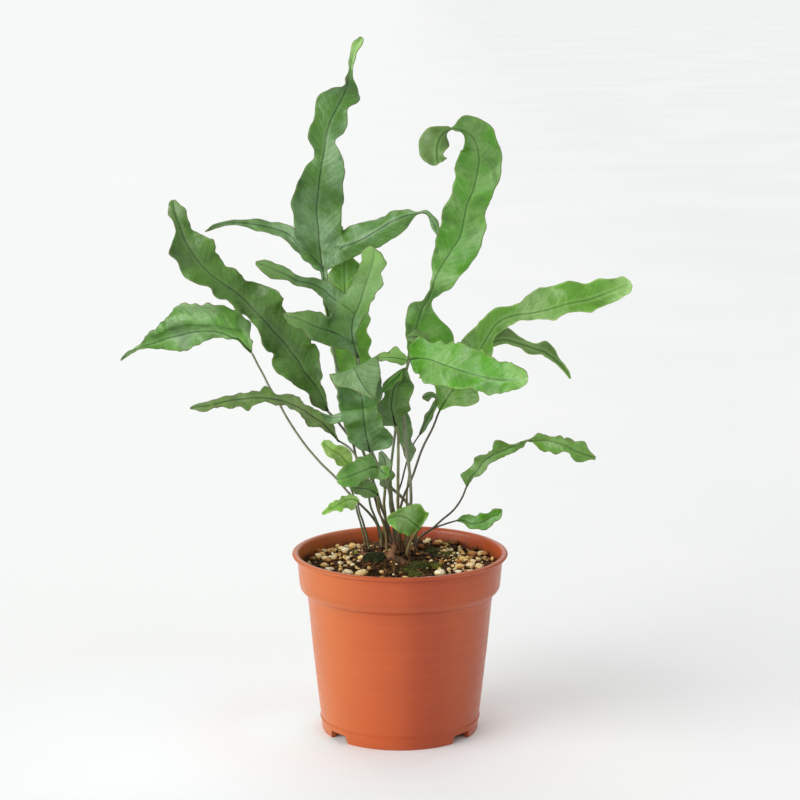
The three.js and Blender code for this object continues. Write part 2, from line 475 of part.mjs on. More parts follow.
function addBlade(sheet, rows, wave, cup) {
  const grid = bladePoints(rows, BLADE_COLUMNS, wave, cup).map((line) => sheet.addRow(line));
  sheet.joinRows(grid);
  return grid;
}

// A lobe starts from a stretch of the blade's own edge, so that it needs no join.
function addLobe(sheet, bladeGrid, lobe, wave, cup) {
  const column = lobe.side === LEFT ? 0 : BLADE_COLUMNS;
  const edge = bladeGrid.slice(lobe.from, lobe.to + 1).map((row) => row[column]);
  if (lobe.side === RIGHT) edge.reverse();
  const rows = bladePoints(lobe.rows, edge.length - 1, wave, cup).map((line) => sheet.addRow(line));
  sheet.joinRows([edge, ...rows]);
}

function stemRadius(frond, i) {
  const [foot, top] = frond.radii;
  return foot + ((top - foot) * i) / (frond.stem.length - 1);
}

function makeStem(frond) {
  const points = frond.stem.map(vector);
  const radii = points.map((_, i) => stemRadius(frond, i));
  for (let i = 1; i <= STEM_ROWS_IN_BLADE; i += 1) {
    points.push(vector(frond.blade[i]));
    radii.push(frond.radii[1] * (1 - i / (STEM_ROWS_IN_BLADE + 0.6)));
  }
  return solid(bar(points, radii, STEM_SIDES));
}

function makeFrond(frond) {
  const sheet = new Sheet();
  const grid = addBlade(sheet, frond.blade, frond.wave, frond.cup);
  frond.lobes.filter((lobe) => lobe.rows.length > 0)
    .forEach((lobe) => addLobe(sheet, grid, lobe, frond.wave, frond.cup));
  const parts = [solid(sheet.thickened(BLADE_THICKNESS)), makeStem(frond)];
  if (frond.branch) {
    const branch = new Sheet();
    addBlade(branch, frond.branch, frond.wave, frond.cup);
    parts.push(solid(branch.thickened(BLADE_THICKNESS)));
  }
  return join(parts);
}

// The room that a stem takes in the soil, a little wider and deeper than the stem.
function makeStemHole(frond) {
  const points = frond.stem.slice(0, 3).map(vector);
  const downwards = points[0].clone().sub(points[1]).normalize();
  points[0].addScaledVector(downwards, GAP);
  const radii = points.map((_, i) => stemRadius(frond, i) + GAP);
  return solid(bar(points, radii, STEM_SIDES));
}

function makePot() {
  const lipTop = POT_HEIGHT;
  const lipFoot = POT_HEIGHT - LIP_HEIGHT;
  const floorTop = FLOOR_HEIGHT + WALL;
  const seamTop = SEAM_HEIGHT + 0.6;
  const body = solid(turned([
    [0, 0], [CENTRE_FOOT_RADIUS, 0], [CENTRE_FOOT_RADIUS + 1.6, FLOOR_HEIGHT],
    [FOOT_RADIUS - RING_FOOT_WIDTH - 1.4, FLOOR_HEIGHT], [FOOT_RADIUS - RING_FOOT_WIDTH - 0.6, 0],
    [FOOT_RADIUS - 0.7, 0], [FOOT_RADIUS, 0.8],
    [SEAM_RADIUS - 0.1, SEAM_HEIGHT - 0.6], [SEAM_RADIUS + 0.4, SEAM_HEIGHT], [SEAM_RADIUS, seamTop],
    [BODY_TOP_RADIUS, BAND_FOOT], [BODY_TOP_RADIUS + 2.3, BAND_FOOT + 0.9],
    [BAND_RADIUS - 1.3, BAND_FOOT + 3.7], [BAND_RADIUS - 1.1, BAND_FOOT + 6],
    [BAND_RADIUS, lipFoot], [RIM_RADIUS - 0.4, lipFoot + 0.4], [RIM_RADIUS, lipFoot + 1.3],
    [RIM_RADIUS - 0.8, lipTop - 0.2], [RIM_RADIUS - 2.2, lipTop], [RIM_RADIUS - 3.6, lipTop - 0.6],
    [BAND_RADIUS - WALL - 0.1, lipFoot + 0.6],
    [BAND_RADIUS - 1.1 - WALL, BAND_FOOT + 6], [BAND_RADIUS - 1.3 - WALL, BAND_FOOT + 4.3],
    [BODY_TOP_RADIUS + 1.4 - WALL, BAND_FOOT + 1.8], [BODY_TOP_RADIUS - WALL, BAND_FOOT + 0.4],
    [SEAM_RADIUS - WALL, seamTop + 0.4], [FOOT_RADIUS - WALL - 1, floorTop],
    [CENTRE_FOOT_RADIUS + 1.2, floorTop], [CENTRE_FOOT_RADIUS - 0.8, WALL], [0, WALL],
  ]));
  const [wide, narrow] = NOTCH_WIDTH;
  const outline = new THREE.Shape();
  outline.moveTo(-wide / 2, -1);
  outline.lineTo(wide / 2, -1);
  outline.lineTo(narrow / 2, NOTCH_HEIGHT);
  outline.lineTo(-narrow / 2, NOTCH_HEIGHT);
  const cuts = NOTCH_ANGLES.map((angle) => {
    const notch = new THREE.ExtrudeGeometry(outline, { depth: 12, bevelEnabled: false });
    notch.rotateX(Math.PI / 2).translate(0, 12 - FOOT_RADIUS - 4, 0);
    return solid(notch.rotateZ(THREE.MathUtils.degToRad(angle)));
  });
  for (let i = 0; i < DRAINS; i += 1) {
    const drain = new THREE.CylinderGeometry(DRAIN_RADIUS, DRAIN_RADIUS, 6, 12).rotateX(Math.PI / 2);
    drain.translate(DRAIN_CIRCLE, 0, FLOOR_HEIGHT).rotateZ((2 * Math.PI * (i + 0.5)) / DRAINS);
    cuts.push(solid(drain));
  }
  return body.subtract(join(cuts));
}

// A small fixed-seed generator, so that every build places the grains alike.
function randomFrom(seed) {
  let state = seed;
  return () => {
    state = (Math.imul(state, 1664525) + 1013904223) >>> 0;
    return state / 4294967296;
  };
}

function soilHeight(x, y) {
  return SOIL_MOUNDS.reduce((height, [mx, my, reachX, reachY, rise]) => {
    const away = ((x - mx) / reachX) ** 2 + ((y - my) / reachY) ** 2;
    return height + rise * Math.exp(-away / 2);
  }, SOIL_LEVEL);
}

// The rhizome creeps over the soil in front of the stems: x, y, z and radius.
const RHIZOME = [
  [7, -9, 94.6, 1.4], [3, -7, 96, 2.2], [-3, -4, 97.2, 3.4], [-9, 0, 97.4, 2.8],
  [-16, 4, 96.8, 2.8], [-23, 9, 95.4, 2.2], [-29, 14, 94.2, 1.5],
];
const RHIZOME_SIDES = 7;

function makeRhizome(margin) {
  const points = RHIZOME.map(vector);
  const last = points.length - 1;
  const [head, tail] = [points[0].clone().sub(points[1]), points[last].clone().sub(points[last - 1])];
  points[0].addScaledVector(head.normalize(), margin);
  points[last].addScaledVector(tail.normalize(), margin);
  const radii = RHIZOME.map(([, , , radius]) => radius + margin);
  return solid(bar(points, radii, RHIZOME_SIDES));
}

// Pumice grains that stand out of the soil: x, y, half length, turn in degrees.
const LARGE_GRAINS = [
  [-30, -40, 4.4, 20], [-23, -43, 4.8, -15], [19, -43, 4.6, 40], [-25, -20, 3.4, 70],
  [-40, -24, 3.8, 10], [-44, -8, 4.6, 30], [-34, -4, 4.2, -25], [-46, 6, 4.4, 60],
  [-30, 12, 4.8, 15], [-36, 24, 3.6, -40], [-22, 27, 3.8, 20], [36, -26, 5.2, -30],
  [43, -19, 4.2, 25], [29, -33, 4, 10], [31, -14, 3.6, 80], [46, -4, 3.8, 45],
  [28, 14, 4, 30], [20, 24, 4.2, -10], [24, 38, 4, -35], [-24, 42, 4, 70],
  [44, 20, 4, -60], [2, -46, 3, 35],
];
const SMALL_GRAINS = 16;
const GRAIN_ROOM = 6; // from a grain's middle to a stem or to the rhizome

function makeGrain(shape, x, y, length, turn, squash) {
  const grain = shape.clone().scale(length, length * squash, length * 0.7);
  grain.rotateZ(THREE.MathUtils.degToRad(turn));
  return solid(grain.translate(x, y, soilHeight(x, y) + length * 0.12));
}

function hasRoom(x, y) {
  const places = [...FRONDS.map(({ stem }) => stem[0]), ...RHIZOME];
  return places.every(([px, py]) => Math.hypot(x - px, y - py) > GRAIN_ROOM);
}

function makeSoil(rhizomeRoom) {
  const inset = WALL + GAP;
  const floorTop = FLOOR_HEIGHT + WALL + GAP;
  const rings = [44, 30, 20, 11, 0].map((radius) => [radius, SOIL_LEVEL]);
  const body = turned([
    [0, WALL + GAP], [CENTRE_FOOT_RADIUS - 1.2, WALL + GAP], [CENTRE_FOOT_RADIUS + 0.9, floorTop],
    [FOOT_RADIUS - inset - 1.1, floorTop], [SEAM_RADIUS - inset - 0.1, SEAM_HEIGHT + 1.4],
    [BODY_TOP_RADIUS - inset, BAND_FOOT + 0.8], [BODY_TOP_RADIUS + 1 - inset, BAND_FOOT + 2],
    [BAND_RADIUS - 1.5 - inset, BAND_FOOT + 4.8], [BAND_RADIUS - 1.2 - inset, BAND_FOOT + 6.4],
    [BAND_RADIUS - 0.8 - inset, SOIL_LEVEL - 1.2], ...rings,
  ]);
  const place = body.attributes.position;
  for (let i = 0; i < place.count; i += 1) {
    if (place.getZ(i) > SOIL_LEVEL - 0.1) {
      place.setZ(i, soilHeight(place.getX(i), place.getY(i)));
    }
  }
  const random = randomFrom(7);
  const grains = LARGE_GRAINS.map(([x, y, length, turn]) => (
    makeGrain(new THREE.IcosahedronGeometry(1, 0), x, y, length, turn, 0.74)));
  while (grains.length < LARGE_GRAINS.length + SMALL_GRAINS) {
    const radius = 49 * Math.sqrt(random());
    const angle = 2 * Math.PI * random();
    const [x, y] = [radius * Math.cos(angle), radius * Math.sin(angle)];
    const [length, turn] = [1.6 + 1.2 * random(), 180 * random()];
    if (hasRoom(x, y)) {
      grains.push(makeGrain(new THREE.OctahedronGeometry(1, 0), x, y, length, turn, 0.8));
    }
  }
  return join([solid(body), ...grains]).subtract(rhizomeRoom).subtract(join(FRONDS.map(makeStemHole)));
}

const plant = new THREE.Group();
plant.add(meshFrom(makePot(), 'pot', TERRACOTTA));
plant.add(meshFrom(makeSoil(makeRhizome(GAP)), 'soil', PEAT));
plant.add(meshFrom(makeRhizome(0), 'rhizome', BARK_BROWN));
FRONDS.forEach((frond) => plant.add(meshFrom(makeFrond(frond), frond.name, frond.finish)));

export default plant;
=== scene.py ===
"""Potted fern: waved and lobed fronds in gritty soil in a round terracotta-coloured nursery pot.

The blades, stems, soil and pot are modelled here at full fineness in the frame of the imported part.
All sizes are in millimetres until a piece is finished, then in metres.
"""

import logging
import math
import random
from dataclasses import dataclass, field
from enum import Enum
from typing import Callable, Iterable, Sequence

import bmesh
import bpy
import numpy as np
from mathutils import Matrix, Vector, noise
from mathutils.bvhtree import BVHTree
from mathutils.kdtree import KDTree

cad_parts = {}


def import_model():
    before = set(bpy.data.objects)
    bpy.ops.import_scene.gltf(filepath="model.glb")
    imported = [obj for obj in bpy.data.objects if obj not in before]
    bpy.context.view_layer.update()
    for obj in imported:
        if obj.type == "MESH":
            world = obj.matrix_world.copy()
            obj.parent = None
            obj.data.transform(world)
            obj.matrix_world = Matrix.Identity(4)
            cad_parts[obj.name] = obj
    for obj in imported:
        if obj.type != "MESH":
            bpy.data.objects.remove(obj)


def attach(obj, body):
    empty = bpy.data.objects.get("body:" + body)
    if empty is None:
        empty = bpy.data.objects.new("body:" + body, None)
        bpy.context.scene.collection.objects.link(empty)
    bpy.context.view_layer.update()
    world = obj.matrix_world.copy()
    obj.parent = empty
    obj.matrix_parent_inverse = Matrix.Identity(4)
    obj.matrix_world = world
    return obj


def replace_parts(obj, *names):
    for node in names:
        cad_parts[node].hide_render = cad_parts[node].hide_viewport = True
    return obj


Colour = tuple[int, int, int]
Pair = tuple[float, float]
Row = tuple[float, ...]
Rows = tuple[Row, ...]
Model = bmesh.types.BMesh
Material = bpy.types.Material
Socket = bpy.types.NodeSocket
Value = float | Socket

LOG = logging.getLogger("potted_fern")
MM = 0.001
FRONT = Vector((0.0, -0.983, 0.185))  # the side that the upper faces of the blades turn to


def linear(colour: Colour) -> tuple[float, float, float, float]:
    """Returns a display colour of 0 to 255 as the linear colour that a shader socket takes."""
    parts = [c / 255 for c in colour]
    return (*(p / 12.92 if p <= 0.04045 else ((p + 0.055) / 1.055) ** 2.4 for p in parts), 1.0)


class Shader:
    """A material's node tree, with short calls that add nodes and lay colours over each other."""

    def __init__(self, name: str, base: Colour = (0, 0, 0)) -> None:
        """Starts a material.

        Args:
            name: the material's name.
            base: the colour that the coats go over.
        """
        self.material = bpy.data.materials.new(name)
        self.material.use_nodes = True
        self.tree = self.material.node_tree
        self.tree.nodes.clear()
        self.places = self.node("ShaderNodeTexCoord").outputs["Object"]
        self.colour = linear(base)

    def node(self, kind: str, inputs: dict | None = None, **settings) -> bpy.types.Node:
        """Adds a node.

        Args:
            kind: the node's type.
            inputs: a value, another node's output or None for each socket, by name or number.
            settings: the node's own properties.

        Returns:
            The new node.
        """
        made = self.tree.nodes.new(kind)
        for key, value in settings.items():
            setattr(made, key, value)
        for key, value in (inputs or {}).items():
            if isinstance(value, Socket):
                self.tree.links.new(value, made.inputs[key])
            elif value is not None:
                made.inputs[key].default_value = value
        return made

    def math(self, operation: str, *values: Value) -> Socket:
        """Returns the result of a sum on one to three values."""
        return self.node("ShaderNodeMath", dict(enumerate(values)), operation=operation).outputs[0]

    def times(self, first: Value, *others: Value) -> Value:
        """Returns the product of values."""
        for value in others:
            first = self.math("MULTIPLY", first, value)
        return first

    def noise(self, scale: float, detail: float = 3.0, warp: float = 0.0, places: Socket | None = None,
              roughness: float = 0.5) -> Socket:
        """Returns a soft random pattern from 0 to 1.

        Args:
            scale: how many features there are in a metre, or in a unit of `places`.
            detail: how many finer layers lie on top.
            warp: how far the pattern is bent.
            places: coordinates to read, the object's own where left out.
            roughness: how strong the finer layers are.
        """
        return self.node("ShaderNodeTexNoise", {
            "Vector": places or self.places, "Scale": scale, "Detail": detail, "Distortion": warp,
            "Roughness": roughness}).outputs[0]

    def cells(self, scale: float, feature: str = "F1") -> Socket:
        """Returns the distance to the middles or the edges of random cells."""
        return self.node("ShaderNodeTexVoronoi", {"Vector": self.places, "Scale": scale},
                         feature=feature).outputs["Distance"]

    def ramp(self, value: Value, low: float, high: float, start: float = 0.0, end: float = 1.0) -> Socket:
        """Returns `start` below `low`, `end` above `high` and a smooth passage between."""
        return self.node("ShaderNodeMapRange", {0: value, 1: low, 2: high, 3: start, 4: end},
                         interpolation_type="SMOOTHSTEP").outputs[0]

    def patches(self, scale: float, detail: float, low: float, high: float, start: float = 0.0,
                end: float = 1.0, warp: float = 0.0) -> Socket:
        """Returns a ramp over a soft random pattern, whose numbers are those of noise and ramp."""
        return self.ramp(self.noise(scale, detail, warp), low, high, start, end)

    def coat(self, share: Value, colour: Colour) -> None:
        """Lays a colour over what is there, as far as the share says."""
        self.colour = self.node("ShaderNodeMix", {0: share, 6: self.colour, 7: linear(colour)},
                                data_type="RGBA").outputs[2]

    def attribute(self, name: str) -> Socket:
        """Returns a number that the mesh carries at every vertex."""
        return self.node("ShaderNodeAttribute", attribute_name=name).outputs["Fac"]

    def split(self, vector: Socket) -> tuple[Socket, ...]:
        """Returns the three numbers of a vector."""
        return tuple(self.node("ShaderNodeSeparateXYZ", {0: vector}).outputs)

    def join(self, x: Value = 0.0, y: Value = 0.0, z: Value = 0.0) -> Socket:
        """Returns a vector of three numbers."""
        return self.node("ShaderNodeCombineXYZ", {0: x, 1: y, 2: z}).outputs[0]

    def stretched(self, scale: tuple[float, float, float]) -> Socket:
        """Returns the object's places, scaled by a number for each axis."""
        return self.node("ShaderNodeMapping", {0: self.places, 3: scale}).outputs[0]

    def reach(self, x: float = 0.0, y: float = 0.0) -> Socket:
        """Returns the distance in metres from the upright line through a place."""
        right, back, _ = self.split(self.places)
        return self.node("ShaderNodeVectorMath", {0: self.join(right, back), 1: (x, y, 0)},
                         operation="DISTANCE").outputs["Value"]

    def bump(self, height: Socket, depth: float, below: Socket | None = None) -> Socket:
        """Returns a normal that follows a height.

        Args:
            height: the pattern, from 0 to 1.
            depth: how deep it is, in millimetres.
            below: the normal of a bump that this one lies on.
        """
        return self.node("ShaderNodeBump", {"Height": height, "Strength": 1.0, "Distance": depth * MM,
                                            "Normal": below}).outputs[0]

    def finish(self, roughness: Value, normal: Socket | None = None, **more: Value) -> Material:
        """Closes the tree with a surface of the colour so far.

        Args:
            roughness: the roughness.
            normal: the normal of a bump, if any.
            more: other sockets of the surface, with underscores for the spaces in their names.

        Returns:
            The finished material.
        """
        inputs = {"Base Color": self.colour, "Roughness": roughness, "Normal": normal}
        inputs |= {key.replace("_", " "): value for key, value in more.items()}
        surface = self.node("ShaderNodeBsdfPrincipled", inputs)
        self.node("ShaderNodeOutputMaterial", {"Surface": surface.outputs[0]}).is_active_output = True
        return self.material


@dataclass(frozen=True)
class LeafFinish:
    """How the two faces, the rim and the rib of a blade look. Veins are measured in millimetres."""

    name: str
    green: Colour
    # pale blue-grey colour: partly the leaf's own paler patches, partly painted sheen
    bloom_and_sheen: Colour
    shade: Colour
    under: Colour = (112, 140, 92)
    tip: Colour = (146, 190, 104)
    rim: Colour = (104, 98, 56)
    rib: Colour = (34, 46, 34)
    dot: Colour = (34, 46, 24)
    bloom_and_sheen_share: float = 0.5
    vein_spacing: float = 4.2
    vein_slant: float = 0.9
    vein_wander: float = 4.0
    dots_from: float = 118
    roughness: float = 0.36
    pale_margin: float = 0.06
    dotted: bool = False

    def face(self, upper: bool) -> Material:
        """Returns the material of the upper or the under face."""
        s = Shader(f"{self.name}_{'upper' if upper else 'under'}", self.green)
        across, along, _ = s.split(s.node("ShaderNodeUVMap", uv_map="across_along").outputs[0])
        away, margin = s.math("ABSOLUTE", across), s.attribute("margin")
        slanted = s.math("MULTIPLY_ADD", away, -self.vein_slant, along)
        wander = s.math("MULTIPLY_ADD", s.noise(110, 2), self.vein_wander, slanted)
        streaks = s.noise(1.0, 4, 0.4, s.join(s.times(wander, 0.75), s.times(across, 0.11)), 0.6)
        beat = s.math("PINGPONG", s.math("DIVIDE", wander, self.vein_spacing), 0.5)
        vein = s.times(s.ramp(beat, 0.0, 0.12, 1.0, 0.0), s.ramp(away, 0.5, 2.0),
                       s.patches(45, 2, 0.4, 0.65))
        low = 0.62 - 0.36 * self.bloom_and_sheen_share
        # pale patches that are partly the leaf's own colour and partly painted sheen
        s.coat(s.patches(36, 3, low, low + 0.2, warp=0.8), self.bloom_and_sheen)
        s.coat(s.patches(62, 4, 0.48, 0.70, 0.0, 0.75, 0.6), self.shade)
        s.coat(s.ramp(streaks, 0.46, 0.72, 0.0, 0.5), self.shade)
        # pale streaks, partly painted sheen
        s.coat(s.ramp(streaks, 0.28, 0.46, 0.32, 0.0), self.bloom_and_sheen)
        s.coat(s.patches(480, 3, 0.4, 0.75, 0.0, 0.3), self.shade)
        if not upper:
            s.coat(0.72, self.under)
        s.coat(s.times(vein, 0.22 if upper else 0.3), self.shade)
        # a pale band beside the rib, in the colour that is partly painted sheen
        s.coat(s.times(s.ramp(away, 0.4, 0.9), s.ramp(away, 1.2, 2.4, 0.28, 0.0)), self.bloom_and_sheen)
        s.coat(s.ramp(away, 0.2, 0.6, 0.45, 0.0), self.rib)
        s.coat(s.attribute("tip"), self.tip)
        if self.dotted and upper:
            dots = s.times(s.ramp(s.cells(300), 0.10, 0.16, 1.0, 0.0),
                           s.ramp(along, self.dots_from, self.dots_from + 8), s.patches(55, 1, 0.48, 0.52))
            s.coat(s.times(dots, 0.85), self.dot)
        s.coat(s.ramp(margin, 0.5, 1.6, self.pale_margin, 0.0), self.tip)
        s.coat(s.ramp(margin, 0.15, 0.5, 0.6, 0.0), self.rim)
        net = s.ramp(s.cells(620, "DISTANCE_TO_EDGE"), 0.0, 0.12, 1.0, 0.0)
        normal = s.bump(s.noise(120, 2), 1.1)
        for height, depth in ((s.math("SUBTRACT", 1.0, vein), 0.09 if upper else -0.14), (streaks, 0.22),
                              (net, -0.03), (s.noise(900, 2), 0.03)):
            normal = s.bump(height, depth, normal)
        rough = s.patches(160, 3, 0.3, 0.7, self.roughness - 0.06, self.roughness + 0.12)
        return s.finish(rough, normal, Specular_IOR_Level=0.5 if upper else 0.3)

    def edge(self) -> Material:
        """Returns the material of the thin rim of a blade."""
        s = Shader(f"{self.name}_rim", self.rim)
        s.coat(s.patches(200, 3, 0.35, 0.7), self.green)
        return s.finish(0.6, s.bump(s.noise(1500, 2), 0.03))

    def midrib(self) -> Material:
        """Returns the material of the thin dark rib."""
        s = Shader(f"{self.name}_rib", self.rib)
        s.coat(s.patches(140, 3, 0.4, 0.65, 0.0, 0.8), self.shade)
        return s.finish(0.6, s.bump(s.noise(1200, 2), 0.03), Specular_IOR_Level=0.25)


class Leaf(Enum):
    """The named leaf finishes."""

    BLUE_GREEN = LeafFinish("blue_green", (76, 122, 40), (106, 144, 92), (58, 92, 38), bloom_and_sheen_share=0.55)
    DEEP_GREEN = LeafFinish("deep_green", (74, 118, 32), (96, 126, 70), (52, 82, 30), bloom_and_sheen_share=0.45,
                            dotted=True)
    SOFT_GREEN = LeafFinish("soft_green", (84, 142, 36), (130, 168, 108), (62, 98, 38), rib=(44, 64, 40))
    BRIGHT_GREEN = LeafFinish("bright_green", (78, 144, 24), (116, 162, 82), (66, 108, 32),
                              under=(84, 106, 58), rim=(112, 118, 60), rib=(50, 76, 40), pale_margin=0.14)
    FRESH_GREEN = LeafFinish("fresh_green", (98, 156, 40), (150, 188, 114), (78, 126, 38),
                             under=(84, 110, 54), rim=(160, 184, 96), rib=(66, 98, 46), pale_margin=0.25)
    LIME_GREEN = LeafFinish("lime_green", (132, 190, 60), (176, 212, 116), (98, 150, 52),
                            rim=(190, 212, 124), rib=(92, 136, 56), pale_margin=0.35)
    MID_GREEN = LeafFinish("mid_green", (88, 136, 40), (110, 146, 76), (70, 108, 38), bloom_and_sheen_share=0.4)
    OLIVE_GREEN = LeafFinish("olive_green", (106, 144, 58), (134, 160, 98), (82, 112, 50))
    DARK_GREEN = LeafFinish("dark_green", (82, 126, 44), (118, 148, 96), (58, 90, 40))
    SEA_GREEN = LeafFinish("sea_green", (92, 130, 64), (128, 155, 109), (66, 98, 52), bloom_and_sheen_share=0.6)


class Slot(Enum):
    """Names of material slots for leaves. Each frond lists one, but nothing reads it."""

    BLUE = "leaf_blue_green"
    BRIGHT = "leaf_bright_green"
    MID = "leaf_mid_green"
    DARK = "leaf_dark_green"


@dataclass(frozen=True)
class StemFinish:
    """How a stem looks: its colour at the soil and higher up, and where the one turns to the other."""

    name: str
    foot: Colour
    top: Colour
    # pale streak colour, painted highlights on the stem's fine ridges
    light: Colour
    turn_from: float = 100
    turn_to: float = 150

    def material(self) -> Material:
        """Returns the stem's material."""
        s = Shader(self.name, self.foot)
        lines = s.noise(1.0, 3, 0.2, s.stretched((900, 900, 60)))
        s.coat(s.ramp(s.split(s.places)[2], self.turn_from * MM, self.turn_to * MM), self.top)
        # painted highlights: pale streaks along the stem's fine ridges
        s.coat(s.ramp(lines, 0.5, 0.8, 0.0, 0.5), self.light)
        s.coat(s.patches(260, 3, 0.5, 0.75, 0.0, 0.5), self.foot)
        return s.finish(0.4, s.bump(lines, 0.10))


class Petiole(Enum):
    """The named stem finishes."""

    DARK = StemFinish("stem_dark_brown", (70, 54, 38), (78, 72, 50), (126, 120, 90))
    TAN = StemFinish("stem_tan_green", (118, 102, 64), (130, 134, 92), (172, 170, 128))
    GREEN = StemFinish("stem_blue_green", (96, 84, 56), (104, 120, 84), (162, 174, 140), 96, 116)
    PALE = StemFinish("stem_pale_olive", (76, 64, 46), (118, 124, 96), (158, 160, 134), 104, 150)


@dataclass(frozen=True)
class Lobe:
    """A lobe that grows from a blade's edge.

    It has a side, the first and the last blade row that it takes up, and rows of its own. Its rib starts
    from the blade row rib_from, and it has none if that is below zero.
    """

    left: bool
    first: int
    last: int
    rows: Rows
    rib_from: int = 0
    cup: float = 0.1


@dataclass(frozen=True)
class FrondShape:
    """A frond's measures. A blade row is x, y, z of the rib, the width to its left and right, and a turn
    in degrees, which is none where it is left out.

    A wave and a scallop are a height and a length. The pale tip of the blade or of the lobes is how long it
    is and how pale. The teeth are the share of the scallops on the left and right edge. The pleat is how
    far across it lies, its height and its width.
    """

    name: str
    slot: Slot
    leaf: Leaf
    petiole: Petiole
    radii: Pair
    wave: Pair
    cup: float
    stem: Rows
    blade: Rows
    lobes: tuple[Lobe, ...] = ()
    branches: tuple[Rows, ...] = ()
    pale_tip: Pair = (0.0, 0.0)
    pale_lobes: Pair = (0.0, 0.0)
    pale_branch: float = 0.0
    scallop: Pair = (0.7, 6.0)
    teeth: Pair = (1.0, 1.0)
    pleat: tuple[float, float, float] = (0.0, 0.0, 1.0)


